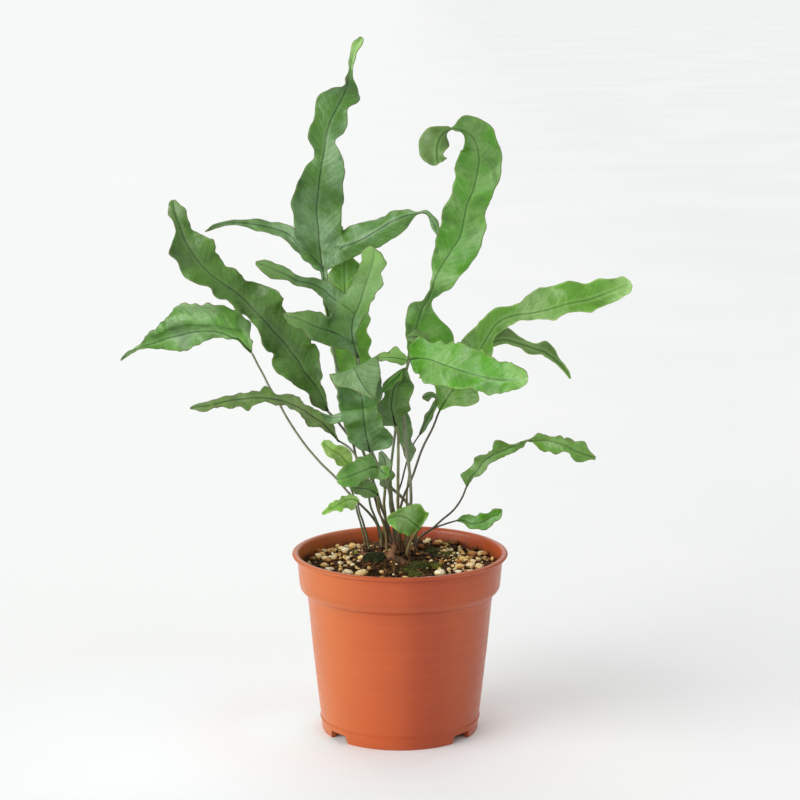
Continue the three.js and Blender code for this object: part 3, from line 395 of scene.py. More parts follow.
FRONDS = (
    FrondShape(
        "tall_centre", Slot.BLUE, Leaf.BLUE_GREEN, Petiole.GREEN, (1.1, 0.9), (2.2, 31), 0.12,
        ((-5, 28, 90), (-5, 26, 100), (-7, 22, 111), (-11, 17, 124), (-16, 9, 143), (-21, 6, 158),
         (-29, 6, 177), (-33, 7, 195), (-36.5, 8.5, 212), (-38.5, 10, 224), (-39.5, 10.5, 230)),
        ((-39.5, 10.5, 230, 0.8, 0.8), (-40.5, 11, 237, 1.8, 3.4, 5), (-41, 11.5, 243, 1.2, 3.2, 5),
         (-41.5, 12, 249, 1.2, 2), (-42.5, 13.5, 257, 1.8, 2), (-43.5, 14.5, 264, 5, 5),
         (-44.5, 16, 272, 9.5, 10), (-45, 17, 280, 12.5, 13), (-46, 19, 290, 13.5, 13.6, 8),
         (-45, 21, 300, 14.2, 14.5, 12), (-44, 23, 309, 9.4, 13.4, 5), (-42.5, 24.5, 318, 5.2, 12.2, -8),
         (-41, 26.7, 327.5, 8.6, 5.6, -14), (-40, 28, 333, 9.5, 9.6, -6), (-37.6, 29.5, 339.5, 9.8, 8),
         (-34.2, 31.5, 346, 11.6, 6.2, 8), (-31, 33.5, 352, 6.4, 8.2, 16), (-28.8, 35, 357, 2.4, 7.5, 30),
         (-27.8, 36, 362, 1.2, 3.4, 30), (-27.4, 37, 366, 1.0, 1.2, 20), (-26.8, 38, 370, 1.9, 2.0, 10),
         (-24.9, 38, 376, 2.5, 2.3), (-22.4, 37.5, 380.5, 2.3, 1.9), (-20.9, 37, 383, 0.8, 0.8)),
        (Lobe(True, 4, 7, (
            (-62, 17.5, 277, 3.8, 4.8), (-70, 20, 279.5, 4, 3.8, 5), (-79, 21, 281.5, 3.2, 3, 8),
            (-88, 22, 282.5, 1.5, 1.5, 5), (-94, 22, 282.5, 1.3, 1.3),
            (-100.5, 20, 281.5, 1.4, 1.2), (-107, 17, 278.5, 0.6, 0.6)), 4, -0.1),
         Lobe(False, 4, 7, (
            (-29.5, 12.5, 271, 9, 7.5, -5), (-21.5, 10.5, 274.5, 9.4, 6, -12),
            (-11.5, 8, 280.5, 7.6, 7.6, -15),
            (-1.5, 4.5, 286.5, 4.2, 7, -12), (4.5, 2.5, 289, 2.8, 4.2, -5), (9.4, 1, 290, 0.9, 0.9),
            (13.5, -1, 290.2, 2.0, 1.4, 30), (17, -2.5, 286.4, 2.4, 2.0, 30),
            (19.4, -3.2, 281.5, 1.7, 1.7, 20),
            (20.8, -3.5, 278.2, 0.5, 0.5)), 4, -0.5)),
        pale_tip=(25, 0.9), scallop=(0.7, 9)),
    FrondShape(
        "right_arching", Slot.BRIGHT, Leaf.BRIGHT_GREEN, Petiole.GREEN, (0.9, 0.8), (2.8, 26), 0.1,
        ((0, 25, 90), (-3, 19, 115), (-5, 12, 134), (-5, 9, 150), (-3, 10, 163), (-2, 12, 175),
         (1, 11, 190), (4, 8, 206), (5, 8, 212)),
        ((5, 8, 212, 0.6, 0.6), (6, 9, 217, 3, 19), (8, 10, 223, 5, 23, 5),
         (10, 11, 230, 6.5, 18, 10), (12, 12, 236, 7, 9, 10), (15, 12, 241, 3, 3, 15),
         (17, 12, 246, 1.3, 5.5, 10), (19, 12, 252, 2, 10), (23, 13, 260, 6, 12.5, -5),
         (28, 14, 268, 9.5, 13, -8), (33, 15, 276, 11, 12.5, -5), (35, 15, 285, 12.5, 12.5),
         (37, 15, 294, 11.5, 11.5, 8), (40, 14, 301, 11.5, 10, 10), (42, 13, 310, 12, 13, 5),
         (43, 10, 318, 12, 13), (42, 7, 325, 10, 11.5, -5), (39.5, 3, 330.5, 8, 11, -5),
         (35, -3, 334.5, 3, 9), (28.5, -9, 336.2, 1.3, 1.4, 60), (24.8, -12, 335.6, 2.4, 3.4, 140),
         (22, -14.5, 333.3, 8, 5.8, 175), (20.3, -16.5, 330, 9.4, 5.9, 180),
         (19.4, -18, 326.5, 8.4, 5.3, 180),
         (19.7, -19, 322.8, 8.9, 3.8, 180), (19.8, -19, 320.4, 6.9, 5.4, 180),
         (20.2, -19, 319.2, 3.4, 4.6, 180),
         (20.6, -19, 318.6, 1, 3, 180)),
        scallop=(0.8, 9)),
    FrondShape(
        "right_far", Slot.BRIGHT, Leaf.FRESH_GREEN, Petiole.DARK, (0.8, 0.7), (3.0, 24), 0.1,
        ((1, 9, 90), (0, 7, 109), (0, 3, 122), (2, 1, 132), (6, 1, 141), (11, 1, 156), (17, 3, 169),
         (22, 6, 180)),
        ((22, 6, 180, 0.6, 0.6), (25, 7, 185, 7, 4.5), (28, 9, 189, 11, 11.5),
         (31, 11, 193, 10.5, 16), (35, 13, 198, 9, 9), (39, 16, 204, 9, 5.5),
         (44, 20, 211, 12, 6.5, 5), (49, 24, 219, 10, 4.5, 12), (55, 28, 226, 8, 6, 12),
         (63, 32, 229, 6, 3.5, 5), (73, 35, 230, 10, 3.5, -5), (85, 38, 232, 13, 7, -10),
         (96, 40, 235, 11.5, 5.5, -5), (107, 42, 237, 10, 5.5), (117, 43, 240.5, 8.2, 6.4),
         (124, 43, 243.4, 6.2, 5.4), (128.3, 43, 245.2, 4.2, 4), (130.3, 43, 246, 1.6, 1.6)),
        branches=(((33, 12, 195.5, 1, 1), (38, 18, 202, 1.4, 1.4, 40), (45, 26, 210, 2, 2, 100),
                 (52, 31, 214, 2, 2, 165), (58, 34, 215, 3, 5.5, 180), (66, 36, 213, 2.5, 4.5, 180),
                 (74, 39, 210, 3.2, 3.2, 180), (82, 42, 206.5, 2.5, 5.6, 180), (88, 44, 202, 1.6, 3.4, 180),
                 (94, 45, 196, 1.4, 1.6, 180), (97, 45, 191, 0.6, 0.6, 180)),),
        pale_tip=(18, 0.35), scallop=(0.8, 12)),
    FrondShape(
        "right_broad", Slot.BRIGHT, Leaf.BRIGHT_GREEN, Petiole.PALE, (1, 0.9), (2.6, 25), 0.16,
        ((4.5, 7, 90), (5, 3, 114), (6, -2, 129), (6, -4, 142), (4, -5, 156), (3, -4, 166), (2, -2, 178),
         (2, -1.5, 190), (3, -4, 203), (4, -7, 207), (5, -9, 211)),
        ((5, -9, 211, 0.7, 0.7), (7, -11, 212, 5, 6), (11, -15, 213, 10, 10, -5),
         (16, -20, 213, 10.5, 11.5, -10), (22, -27, 212, 12, 13, -10), (28, -34, 211, 13, 10.5, -5),
         (34, -40, 210, 14, 10), (41, -46, 209, 14, 7.5), (48, -51, 208, 12, 9, 5),
         (54, -55, 208, 9, 5.5, 5), (59, -58, 208.5, 8.5, 6), (63, -60, 209.5, 7, 4.6),
         (65.5, -61, 210.5, 4, 3), (66.5, -61.4, 211, 1.6, 1.2)),
        branches=(((4.4, -9, 210.6, 0.8, 0.8), (1.1, -11.5, 211.9, 3.2, 3.4), (-2.4, -14, 213, 3.4, 5.6),
                 (-6.5, -16.5, 213.6, 2.4, 4.2), (-10.3, -19, 213.7, 1.6, 2), (-13.4, -21, 214.2, 0.5, 0.5)),
                ((1.5, -10, 205.5, 0.6, 0.6), (-1.6, -13, 202.2, 2.2, 2), (-4.9, -15, 199.8, 2.6, 2.2),
                 (-7.8, -16.5, 197, 2, 2), (-10.8, -17.5, 193.6, 0.5, 0.5)),
                ((16, -9.5, 221, 1.5, 2, 180), (12.4, -9.5, 222.5, 3.4, 4, 180),
                 (8, -9.5, 223.8, 3, 3.6, 180),
                 (3.3, -9.5, 223.4, 0.7, 0.7, 180))),
        pale_tip=(14, 0.4), pale_branch=0.95, scallop=(0.95, 5.4), teeth=(1.0, 0.75)),
    FrondShape(
        "left_long", Slot.BLUE, Leaf.DEEP_GREEN, Petiole.DARK, (0.8, 0.8), (3.0, 26), 0.14,
        ((-5.5, 17.5, 90), (-8, 15, 111), (-12, 10, 122), (-15, 6, 133), (-19, 2, 143), (-24, 0, 154),
         (-27, 0, 165), (-31, 1, 170), (-35, 2, 175), (-40, 4, 180)),
        ((-40, 4, 180, 0.6, 0.6), (-42, 2, 186, 6, 1.2), (-45, 0, 193, 7.5, 4),
         (-49, -3, 199, 10, 8, -5), (-53, -6, 205, 10.5, 11.5, -8), (-56, -9, 211, 11, 12.5, -8),
         (-60, -12, 217, 11.5, 12.5, -5), (-63, -15, 222, 9.5, 13), (-68, -19, 228, 8.5, 12.5, 5),
         (-73, -23, 235, 6.5, 12.5, 8), (-76.2, -25, 238.8, 5, 17, -14), (-79.5, -27, 242.8, 4.6, 18, -14),
         (-82.5, -29, 246.5, 5.5, 12, 5),
         (-87, -32, 251, 6, 10.5), (-93, -35, 256, 7, 9.5), (-98, -37, 260, 6.5, 8.5, -5),
         (-103, -39, 265, 9, 9.5, -8), (-107, -41, 270, 10.5, 11, -8), (-110, -42, 275, 9, 11, -5),
         (-113, -42, 280, 7.5, 10.5), (-115, -42, 286, 3.6, 7), (-117, -41, 291, 2, 4),
         (-118.5, -39, 296, 3.2, 4.2), (-119, -38, 299, 3, 3.2), (-119.2, -37, 301, 1.2, 1.2)),
        scallop=(1.7, 11)),
    FrondShape(
        "left_folded", Slot.BLUE, Leaf.SOFT_GREEN, Petiole.PALE, (0.8, 0.7), (3.2, 30), 0.3,
        ((-12.5, 20.5, 90), (-11.5, 19, 103), (-12.5, 17, 111), (-16, 14, 118), (-28, 12, 131),
         (-36, 14, 140), (-46, 16, 150), (-56, 18, 162), (-67, 20, 180), (-78, 22, 200), (-83, 22, 210)),
        ((-83, 22, 210, 0.6, 0.6), (-86, 22, 213, 1.4, 5), (-90, 23, 217, 1.4, 12, -10),
         (-96, 24, 219, 2, 16, -20), (-103, 26, 221, 4, 19, -25), (-111, 28, 221, 6.5, 19, -25),
         (-117, 30, 220, 8, 19, -20), (-124, 31, 218, 9, 14, -15), (-131, 33, 216, 7, 9, -10),
         (-139, 34, 213, 3, 5.5), (-146, 34, 211, 1.6, 1.6), (-152, 33, 208, 1.1, 1.1),
         (-157, 31, 204, 0.6, 0.6)),
        scallop=(1.1, 4.2), teeth=(0.35, 1.5), pleat=(-8.5, 4.2, 3.0)),
    FrondShape(
        "left_low", Slot.DARK, Leaf.OLIVE_GREEN, Petiole.PALE, (0.8, 0.7), (1.6, 22), 0.15,
        ((-4, 11, 90), (-6, 8, 111), (-9, 4, 122), (-13, 0, 132), (-17, -3, 141), (-21, -4, 151),
         (-25, -4, 157.5), (-29, -4, 162), (-34, -4, 165)),
        ((-34, -4, 165, 0.6, 0.6), (-39, -8, 172, 1.5, 3), (-43, -12, 177, 3, 4.5),
         (-48, -15, 181, 5.5, 4, 5), (-51, -18, 184, 5, 3.5, 5), (-55, -21, 187, 2, 4),
         (-60, -25, 190, 2, 5), (-64, -28, 192, 2.4, 3), (-71, -32, 194, 2.4, 5),
         (-77, -36, 195, 4, 3.5), (-85, -40, 195, 4, 3.5), (-90, -43, 195, 3.5, 2.4),
         (-96, -46, 194, 3.2, 2), (-102, -48, 193, 2.2, 2), (-107, -50, 193, 1.8, 1.5),
         (-111, -51, 192, 0.6, 0.6)),
        scallop=(1.2, 6)),
    FrondShape(
        "centre_three_lobed", Slot.BLUE, Leaf.BLUE_GREEN, Petiole.GREEN, (1, 0.9), (1.5, 25), 0.1,
        ((9, 19, 90), (8, 14, 113), (5, 11, 125), (0, 10, 131), (-5, 8, 136), (-10, 8, 144),
         (-15, 4, 154), (-17, 1, 164), (-19, 0, 176), (-21, -3, 196), (-23, -6, 212)),
        ((-23, -6, 212, 0.6, 0.6), (-25, -9, 219, 4.5, 2), (-26, -12, 225, 7.5, 2.5),
         (-26, -15, 231, 11, 3.5), (-25, -17, 236, 12, 4.5), (-23, -19, 240.5, 11.5, 5),
         (-21, -21, 246, 8.5, 6), (-19, -24, 253, 8, 7.5, 5), (-17, -26, 259, 7.5, 8, 8),
         (-15, -28, 265, 6.5, 6.5, 5), (-14, -30, 270, 6, 6.5, -5), (-14, -32, 274, 4, 4.5, -10),
         (-14, -33, 276, 2, 2, -10)),
        (Lobe(True, 1, 4, (
            (-42, -17.5, 229.5, 7.5, 8, -5), (-47, -20.5, 232, 7, 7.5, -8), (-51, -24, 234.5, 5.5, 6.5, -5),
            (-55, -27, 236.5, 4.5, 4.5), (-59, -29.5, 238, 3.6, 2.4), (-62, -30.5, 239, 1.2, 1)), 1),
         Lobe(True, 4, 6, (
            (-41, -21, 251, 4, 5, 5), (-47, -25, 255, 3.4, 3.5, 8), (-54, -30, 257, 2.8, 2.6, 8),
            (-60, -34, 261, 3.2, 3, 5), (-66, -37, 264, 4.6, 3.5), (-72, -39, 267, 3.4, 2.6),
            (-76, -40, 268, 0.8, 0.8)), 4)),
        pale_tip=(46, 0.5), pale_lobes=(24, 0.4)),
    FrondShape(
        "behind_centre", Slot.MID, Leaf.FRESH_GREEN, Petiole.TAN, (1, 0.8), (1.6, 34), -0.1,
        ((-11, 25.5, 90), (-9.5, 21, 105), (-8.5, 17.5, 116), (-9, 14.5, 127), (-8.5, 14, 134),
         (-12, 12, 146), (-18, 9, 163), (-20, 9, 177), (-21, 10, 190)),
        ((-21, 10, 190, 0.6, 0.6), (-23, 13, 199, 11, 7), (-25, 16, 212, 12.5, 8.5, 5),
         (-28, 20, 226, 12, 11, 8), (-30, 22, 239, 11.5, 13, 5), (-31, 24, 250, 10.5, 11.5),
         (-31, 26, 260, 5.5, 8), (-31, 27, 268, 0.8, 0.8))),
    FrondShape(
        "low_centre", Slot.BLUE, Leaf.BLUE_GREEN, Petiole.PALE, (0.9, 0.8), (1.6, 21), 0.08,
        ((-1, 6, 90), (-3, 8, 105), (-4, 4, 120), (-6, -3, 136), (-10, -9, 150), (-14, -12, 156),
         (-16.6, -14, 160.8)),
        ((-16.6, -14, 160.8, 0.6, 0.9), (-16.8, -15.4, 162.4, 2.4, 10), (-17.2, -17, 165.2, 6, 13.2),
         (-17.9, -20, 169, 9, 13), (-18.9, -25, 175.5, 10.6, 11.6),
         (-19.6, -30.5, 183.4, 11.2, 9.2), (-19.8, -31, 186.6, 11.6, 8.6), (-20.1, -25.5, 188.4, 12.5, 9.5),
         (-20.6, -20.5, 191, 12.5, 11.5), (-21.7, -18, 195.6, 12.4, 12), (-23.3, -17.5, 202.4, 12.6, 12.6),
         (-25.4, -19.5, 208.2, 12.8, 13), (-24.4, -23.5, 208.3, 12.8, 13, 176),
         (-21.8, -26, 203.4, 8.6, 12.6, 180),
         (-18.2, -28, 198, 3.6, 7.6, 180), (-15.4, -28.8, 195, 1.4, 3, 180),
         (-13.7, -29, 193.2, 0.6, 0.6, 180)),
        (Lobe(True, 5, 6, ((-37, -30, 183, 3.5, 1.4, 20), (-43, -32, 185.5, 0.9, 0.8)), -1),)),
    FrondShape(
        "centre_right", Slot.DARK, Leaf.DARK_GREEN, Petiole.TAN, (1.1, 0.9), (1.4, 26), 0.1,
        ((1, 15, 90), (0, 13, 110), (-1, 8, 124), (-1, 3, 141), (-1, 0, 156), (-1, -3, 167),
         (-2, -6, 174)),
        ((-2.2, -6, 174, 0.9, 0.9), (-3.2, -6.8, 177, 7.6, 2), (-3.8, -7.8, 180, 12.8, 6.4, -5),
         (-4.6, -9.5, 184.4, 9.6, 10.4, -10), (-4.4, -11, 190.2, 5, 10.8, -12),
         (-3.5, -11.5, 195.9, 6, 11.6, -12),
         (-1.1, -10.5, 200.7, 3.2, 10.4, -8), (1.1, -9.5, 203.8, 2, 5.6), (3.3, -9, 206.2, 0.7, 0.7)),
        scallop=(0.5, 7)),
    FrondShape(
        "centre_right_narrow", Slot.DARK, Leaf.SEA_GREEN, Petiole.TAN, (0.8, 0.7), (1, 18), 0.1,
        ((4.5, 17, 90), (3, 13, 106), (4, 9, 120), (4, 6, 134), (5, 4.5, 144), (5, 2, 152)),
        ((5, 2, 152, 0.6, 0.7), (4, 3, 157, 2, 5), (3, 4, 164, 4, 3), (2, 5, 171, 5, 5),
         (1, 6, 178, 4, 3.4), (0, 6, 184, 0.8, 0.8))),
    FrondShape(
        "curled_dark", Slot.DARK, Leaf.DARK_GREEN, Petiole.DARK, (0.7, 0.5), (0.6, 12), 0.1,
        ((2, 31, 90), (-1, 26, 113), (-1, 17, 131), (1, 13, 138), (4, 8, 151), (7, 6, 160),
         (11, 4, 167)),
        ((11, 4, 167, 0.5, 0.6), (12.5, 4, 170, 1, 1.8), (14, 4, 174, 1.3, 2),
         (15.5, 4, 177, 2.6, 2.6), (17.5, 4, 180, 2, 2), (19, 3, 183, 1.6, 1.6),
         (20.5, 2, 186, 1.8, 1.2), (20, 0.5, 188.5, 1.2, 1.2), (17.5, -0.5, 190, 1.6, 1.6),
         (14.5, -1, 189, 2.4, 2.2), (12.3, -1, 188.5, 0.8, 0.8))),
    FrondShape(
        "small_left", Slot.BRIGHT, Leaf.LIME_GREEN, Petiole.GREEN, (0.7, 0.6), (0.8, 18), 0.1,
        ((-18.6, 20, 90), (-20, 17, 104), (-22, 14, 113), (-25, 4, 127), (-26, -1, 134), (-28, -7, 142),
         (-28, -11, 147), (-27, -14, 152)),
        ((-27, -14, 152, 0.6, 0.8), (-30, -18, 157, 4.4, 5.2), (-33, -21, 161, 4.2, 4.6, 5),
         (-37, -24, 164, 4, 4.4, 5), (-40, -26, 167, 2.8, 3.4), (-42, -28, 169, 1, 1.2)),
        scallop=(0.45, 8)),
    FrondShape(
        "front_bright", Slot.BRIGHT, Leaf.BRIGHT_GREEN, Petiole.GREEN, (0.8, 0.7), (1.2, 20), 0.1,
        ((-11, 15, 90), (-11, 12, 110), (-13, 7, 117), (-16, 0, 126), (-17, -7, 134), (-17, -14, 143),
         (-14, -19, 150), (-12, -21, 154)),
        ((-12, -21, 154, 0.7, 0.7), (-15, -24, 154.5, 6.5, 6.5), (-18, -27, 154, 5, 7.5, 5),
         (-22, -30, 153, 5, 7, 8), (-26, -33, 152, 6, 6.6, 8), (-29, -35, 151.3, 5.8, 5.6, 5),
         (-32, -36, 150.6, 4.6, 4.2), (-34, -36, 150.4, 2, 2)),
        branches=(((-12, -21, 154, 1, 1), (-10, -23, 152, 4, 4.5, 10), (-8, -25, 150.5, 3.6, 3.4, 15),
                (-6.5, -26, 149.5, 1.2, 1.4, 10)),)),
    FrondShape(
        "front_under", Slot.MID, Leaf.MID_GREEN, Petiole.TAN, (0.8, 0.7), (1, 16), 0.12,
        ((-8, 9, 90), (-8, 6, 111), (-11, 0, 122), (-12, -6, 130), (-12, -12, 136)),
        ((-12, -12, 136, 0.6, 0.7), (-15, -14.5, 139, 4.2, 3.6), (-18, -18, 141, 5, 4.6, -5),
         (-22, -21, 142, 4, 3.8, -5), (-25, -23, 143, 2.4, 2.6), (-27, -24, 144, 0.7, 0.7))),
    FrondShape(
        "small_blue", Slot.BLUE, Leaf.SEA_GREEN, Petiole.GREEN, (0.8, 0.7), (1, 12), 0.12,
        ((-2, 20, 90), (-4, 14, 113), (-5.5, 8, 126), (-6, 2, 136)),
        ((-6, 2, 136, 0.6, 0.7), (-7, 1, 140, 3.6, 2.2), (-7, 0, 144, 4.4, 3.8),
         (-8, -1, 148, 4, 3), (-8, -1, 151, 4, 3.4), (-9, -1, 155, 3, 1.8),
         (-11, -1, 158, 0.9, 0.9))),
    FrondShape(
        "small_front_left", Slot.BRIGHT, Leaf.LIME_GREEN, Petiole.GREEN, (0.8, 0.6), (0.9, 14), 0.1,
        ((-16, 14, 90), (-18, 11, 104), (-20, 3, 115), (-22, -8, 125), (-23, -16, 131), (-23, -22, 135)),
        ((-23, -22, 135, 0.6, 1.2), (-25, -24, 136.5, 4.6, 2), (-29, -27, 137, 4.2, 2.4),
         (-32, -30, 136, 3.6, 3.2, 5), (-36, -33, 134, 3.6, 2.8, 5), (-39, -35, 133, 1.8, 1.8),
         (-42, -36, 131, 0.6, 0.6)),
        scallop=(1.3, 3.6)),
    FrondShape(
        "front_round", Slot.BRIGHT, Leaf.FRESH_GREEN, Petiole.TAN, (1, 0.8), (0.9, 26), 0.12,
        ((3, 1, 90), (4, 0, 101), (6, -2, 107.5), (9, -8, 114), (11, -14, 118)),
        ((11, -14, 118, 0.7, 0.7), (9.5, -15, 119.5, 5, 8.5), (8, -17, 121, 7.5, 9.5, 5),
         (4, -20, 125, 8.5, 9, 8), (0, -23, 127, 8.5, 4.5, 8), (-4, -25, 127, 7, 2.5, 5),
         (-7, -26, 126, 2.2, 0.9))),
    FrondShape(
        "right_twisted", Slot.MID, Leaf.MID_GREEN, Petiole.DARK, (0.7, 0.6), (2.0, 15), 0.1,
        ((7.5, 9, 90), (8.5, 9, 101), (11, 8, 107), (18, 6, 113), (24, 4, 119), (30, 1, 125),
         (35, -1, 133), (37, -2, 139)),
        ((37, -2, 139, 0.6, 0.6), (39, -3, 144, 6, 1.4), (43, -5, 149, 5, 2.6),
         (46, -7, 154, 4.2, 4.4, 5), (51, -9, 158, 3.8, 2.8, 10), (57, -12, 161, 4.8, 3.6, 20),
         (62, -15, 164, 3, 3.6, 40), (66, -16, 166, 1.6, 3, 60), (69, -18, 168, 1.6, 1.6, 75),
         (73, -20, 168, 2.8, 5, 45), (79, -22, 169, 4.2, 4.4, 20), (85, -24, 168, 4.6, 5.6, 5),
         (91, -25, 166, 5.4, 5), (95, -26, 164, 4.6, 4.6), (100, -26, 162, 3.4, 3.6),
         (106, -26, 160, 0.8, 0.8)),
        scallop=(1.8, 7.5)),
    FrondShape(
        "right_low", Slot.MID, Leaf.BRIGHT_GREEN, Petiole.DARK, (0.7, 0.55), (1, 16), 0.12,
        ((8, 13.5, 90), (8.5, 13, 103), (15, 12, 109), (19, 11, 112), (25, 10, 114.5), (32, 8, 117)),
        ((32, 8, 117, 0.6, 0.6), (35, 8, 117, 4, 1.4), (40, 7, 115.5, 4, 2.8),
         (44, 6, 116, 4.6, 4), (48, 5, 118, 4, 4.2), (51, 4, 120, 3.2, 3.6),
         (55, 3, 122, 3.2, 2), (56, 2, 125, 1, 0.8)),
        scallop=(1.0, 6)),
)


def to_piece(bm: Model, name: str, materials: Iterable[Material],
             sharp_above: float = 180.0) -> bpy.types.Object:
    """Turns a model in millimetres into a shown object in metres.

    Args:
        bm: the model, which is freed.
        name: the object's name.
        materials: its materials, in the order of the faces' numbers.
        sharp_above: angle in degrees above which an edge is shaded as sharp.

    Returns:
        The object, which stands at the origin.
    """
    bmesh.ops.scale(bm, vec=(MM, MM, MM), verts=bm.verts)
    mesh = bpy.data.meshes.new(name)
    bm.to_mesh(mesh)
    bm.free()
    mesh.shade_smooth()
    if sharp_above < 180:
        mesh.set_sharp_from_angle(angle=math.radians(sharp_above))
    for material in materials:
        mesh.materials.append(material)
    made = bpy.data.objects.new(name, mesh)
    bpy.context.scene.collection.objects.link(made)
    return made


def dress(pieces: Iterable[bpy.types.Object], node: str) -> None:
    """Lets pieces ride the body in a node's place, and reports them."""
    for piece in pieces:
        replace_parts(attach(piece, "root"), node)
        LOG.info("%s: %d faces", piece.name, len(piece.data.polygons))


def bake_modifiers(made: bpy.types.Object) -> None:
    """Replaces the object's mesh by what its modifiers make of it."""
    graph = bpy.context.evaluated_depsgraph_get()
    mesh = bpy.data.meshes.new_from_object(made.evaluated_get(graph))
    mesh.name = made.name
    made.modifiers.clear()
    made.data = mesh


def run_of(line: np.ndarray) -> np.ndarray:
    """Returns how far along a line every one of its points is."""
    return np.concatenate([[0], np.cumsum(np.linalg.norm(np.diff(line, axis=0), axis=1))])


def smooth_path(points: Sequence[Sequence[float]], step: float) -> np.ndarray:
    """Returns a smooth path through points, with a point about every `step`."""
    controls = np.array(points, dtype=float)
    chords = run_of(controls)
    count = max(2, round(chords[-1] / step)) + 1
    return loft(controls[:, None, :], chords, np.linspace(0, chords[-1], count))[:, 0]


def loft(controls: np.ndarray, chords: np.ndarray, fine: np.ndarray,
         start: np.ndarray | None = None) -> np.ndarray:
    """Carries every column of control points smoothly along a strip.

    Args:
        controls: points by row and column.
        chords: how far along the strip every row is.
        fine: the places along the strip that are wanted.
        start: the direction in which every column sets out, where it isn't free.

    Returns:
        Points by wanted place and column.
    """
    gaps = np.diff(chords)
    slopes = np.diff(controls, axis=0) / gaps[:, None, None]
    tangents = np.empty_like(controls)
    before, after = gaps[:-1, None, None], gaps[1:, None, None]
    tangents[1:-1] = (slopes[:-1] * after + slopes[1:] * before) / (before + after)
    tangents[0] = slopes[0] if start is None else start
    tangents[-1] = slopes[-1]
    at = np.clip(np.searchsorted(chords, fine, side="right") - 1, 0, len(gaps) - 1)
    h = ((fine - chords[at]) / gaps[at])[:, None, None]
    gap = gaps[at][:, None, None]
    return ((2 * h**3 - 3 * h**2 + 1) * controls[at] + (h**3 - 2 * h**2 + h) * gap * tangents[at]
            + (3 * h**2 - 2 * h**3) * controls[at + 1] + (h**3 - h**2) * gap * tangents[at + 1])


def gather(add: Callable[[Model, int], None], count: int, batch: int = 50) -> Model:
    """Builds many small shapes a batch at a time, which is quicker than one growing model.

    Args:
        add: adds the shape of a number to a model.
        count: how many shapes there are.
        batch: how many are built before they are put with the others.

    Returns:
        All shapes in one model.
    """
    whole = bmesh.new()
    whole.verts.layers.float.new("tone")
    mesh = bpy.data.meshes.new("batch")
    for start in range(0, count, batch):
        part = bmesh.new()
        part.verts.layers.float.new("tone")
        for i in range(start, min(count, start + batch)):
            add(part, i)
        part.to_mesh(mesh)
        part.free()
        whole.from_mesh(mesh)
    bpy.data.meshes.remove(mesh)
    return whole


def add_tube(bm: Model, points: np.ndarray, radii: Sequence[float], sides: int, material: int = 0) -> None:
    """Adds a closed round tube along a path.

    Args:
        bm: the model to add to.
        points: the path.
        radii: the tube's radius at every point.
        sides: how many sides the tube has.
        material: the number of its material.
    """
    path = [Vector(p) for p in points]
    along = (path[1] - path[0]).normalized()
    side = along.orthogonal().normalized()
    rings, faces = [], []
    for i, point in enumerate(path):
        ahead = (path[min(i + 1, len(path) - 1)] - path[max(i - 1, 0)]).normalized()
        side = (along.rotation_difference(ahead) @ side).normalized()
        along = ahead
        turn = Matrix((side, along.cross(side), along)).transposed().to_4x4()
        ring = bmesh.ops.create_circle(bm, segments=sides, radius=radii[i],
                                       matrix=Matrix.Translation(point) @ turn)["verts"]
        edges = list(dict.fromkeys(e for v in ring for e in v.link_edges))
        if rings:
            faces += bmesh.ops.bridge_loops(bm, edges=rings[-1] + edges)["faces"]
        rings.append(edges)
    for end in (rings[0], rings[-1]):
        faces += bmesh.ops.contextual_create(bm, geom=end)["faces"]
    for face in faces:
        face.material_index = material


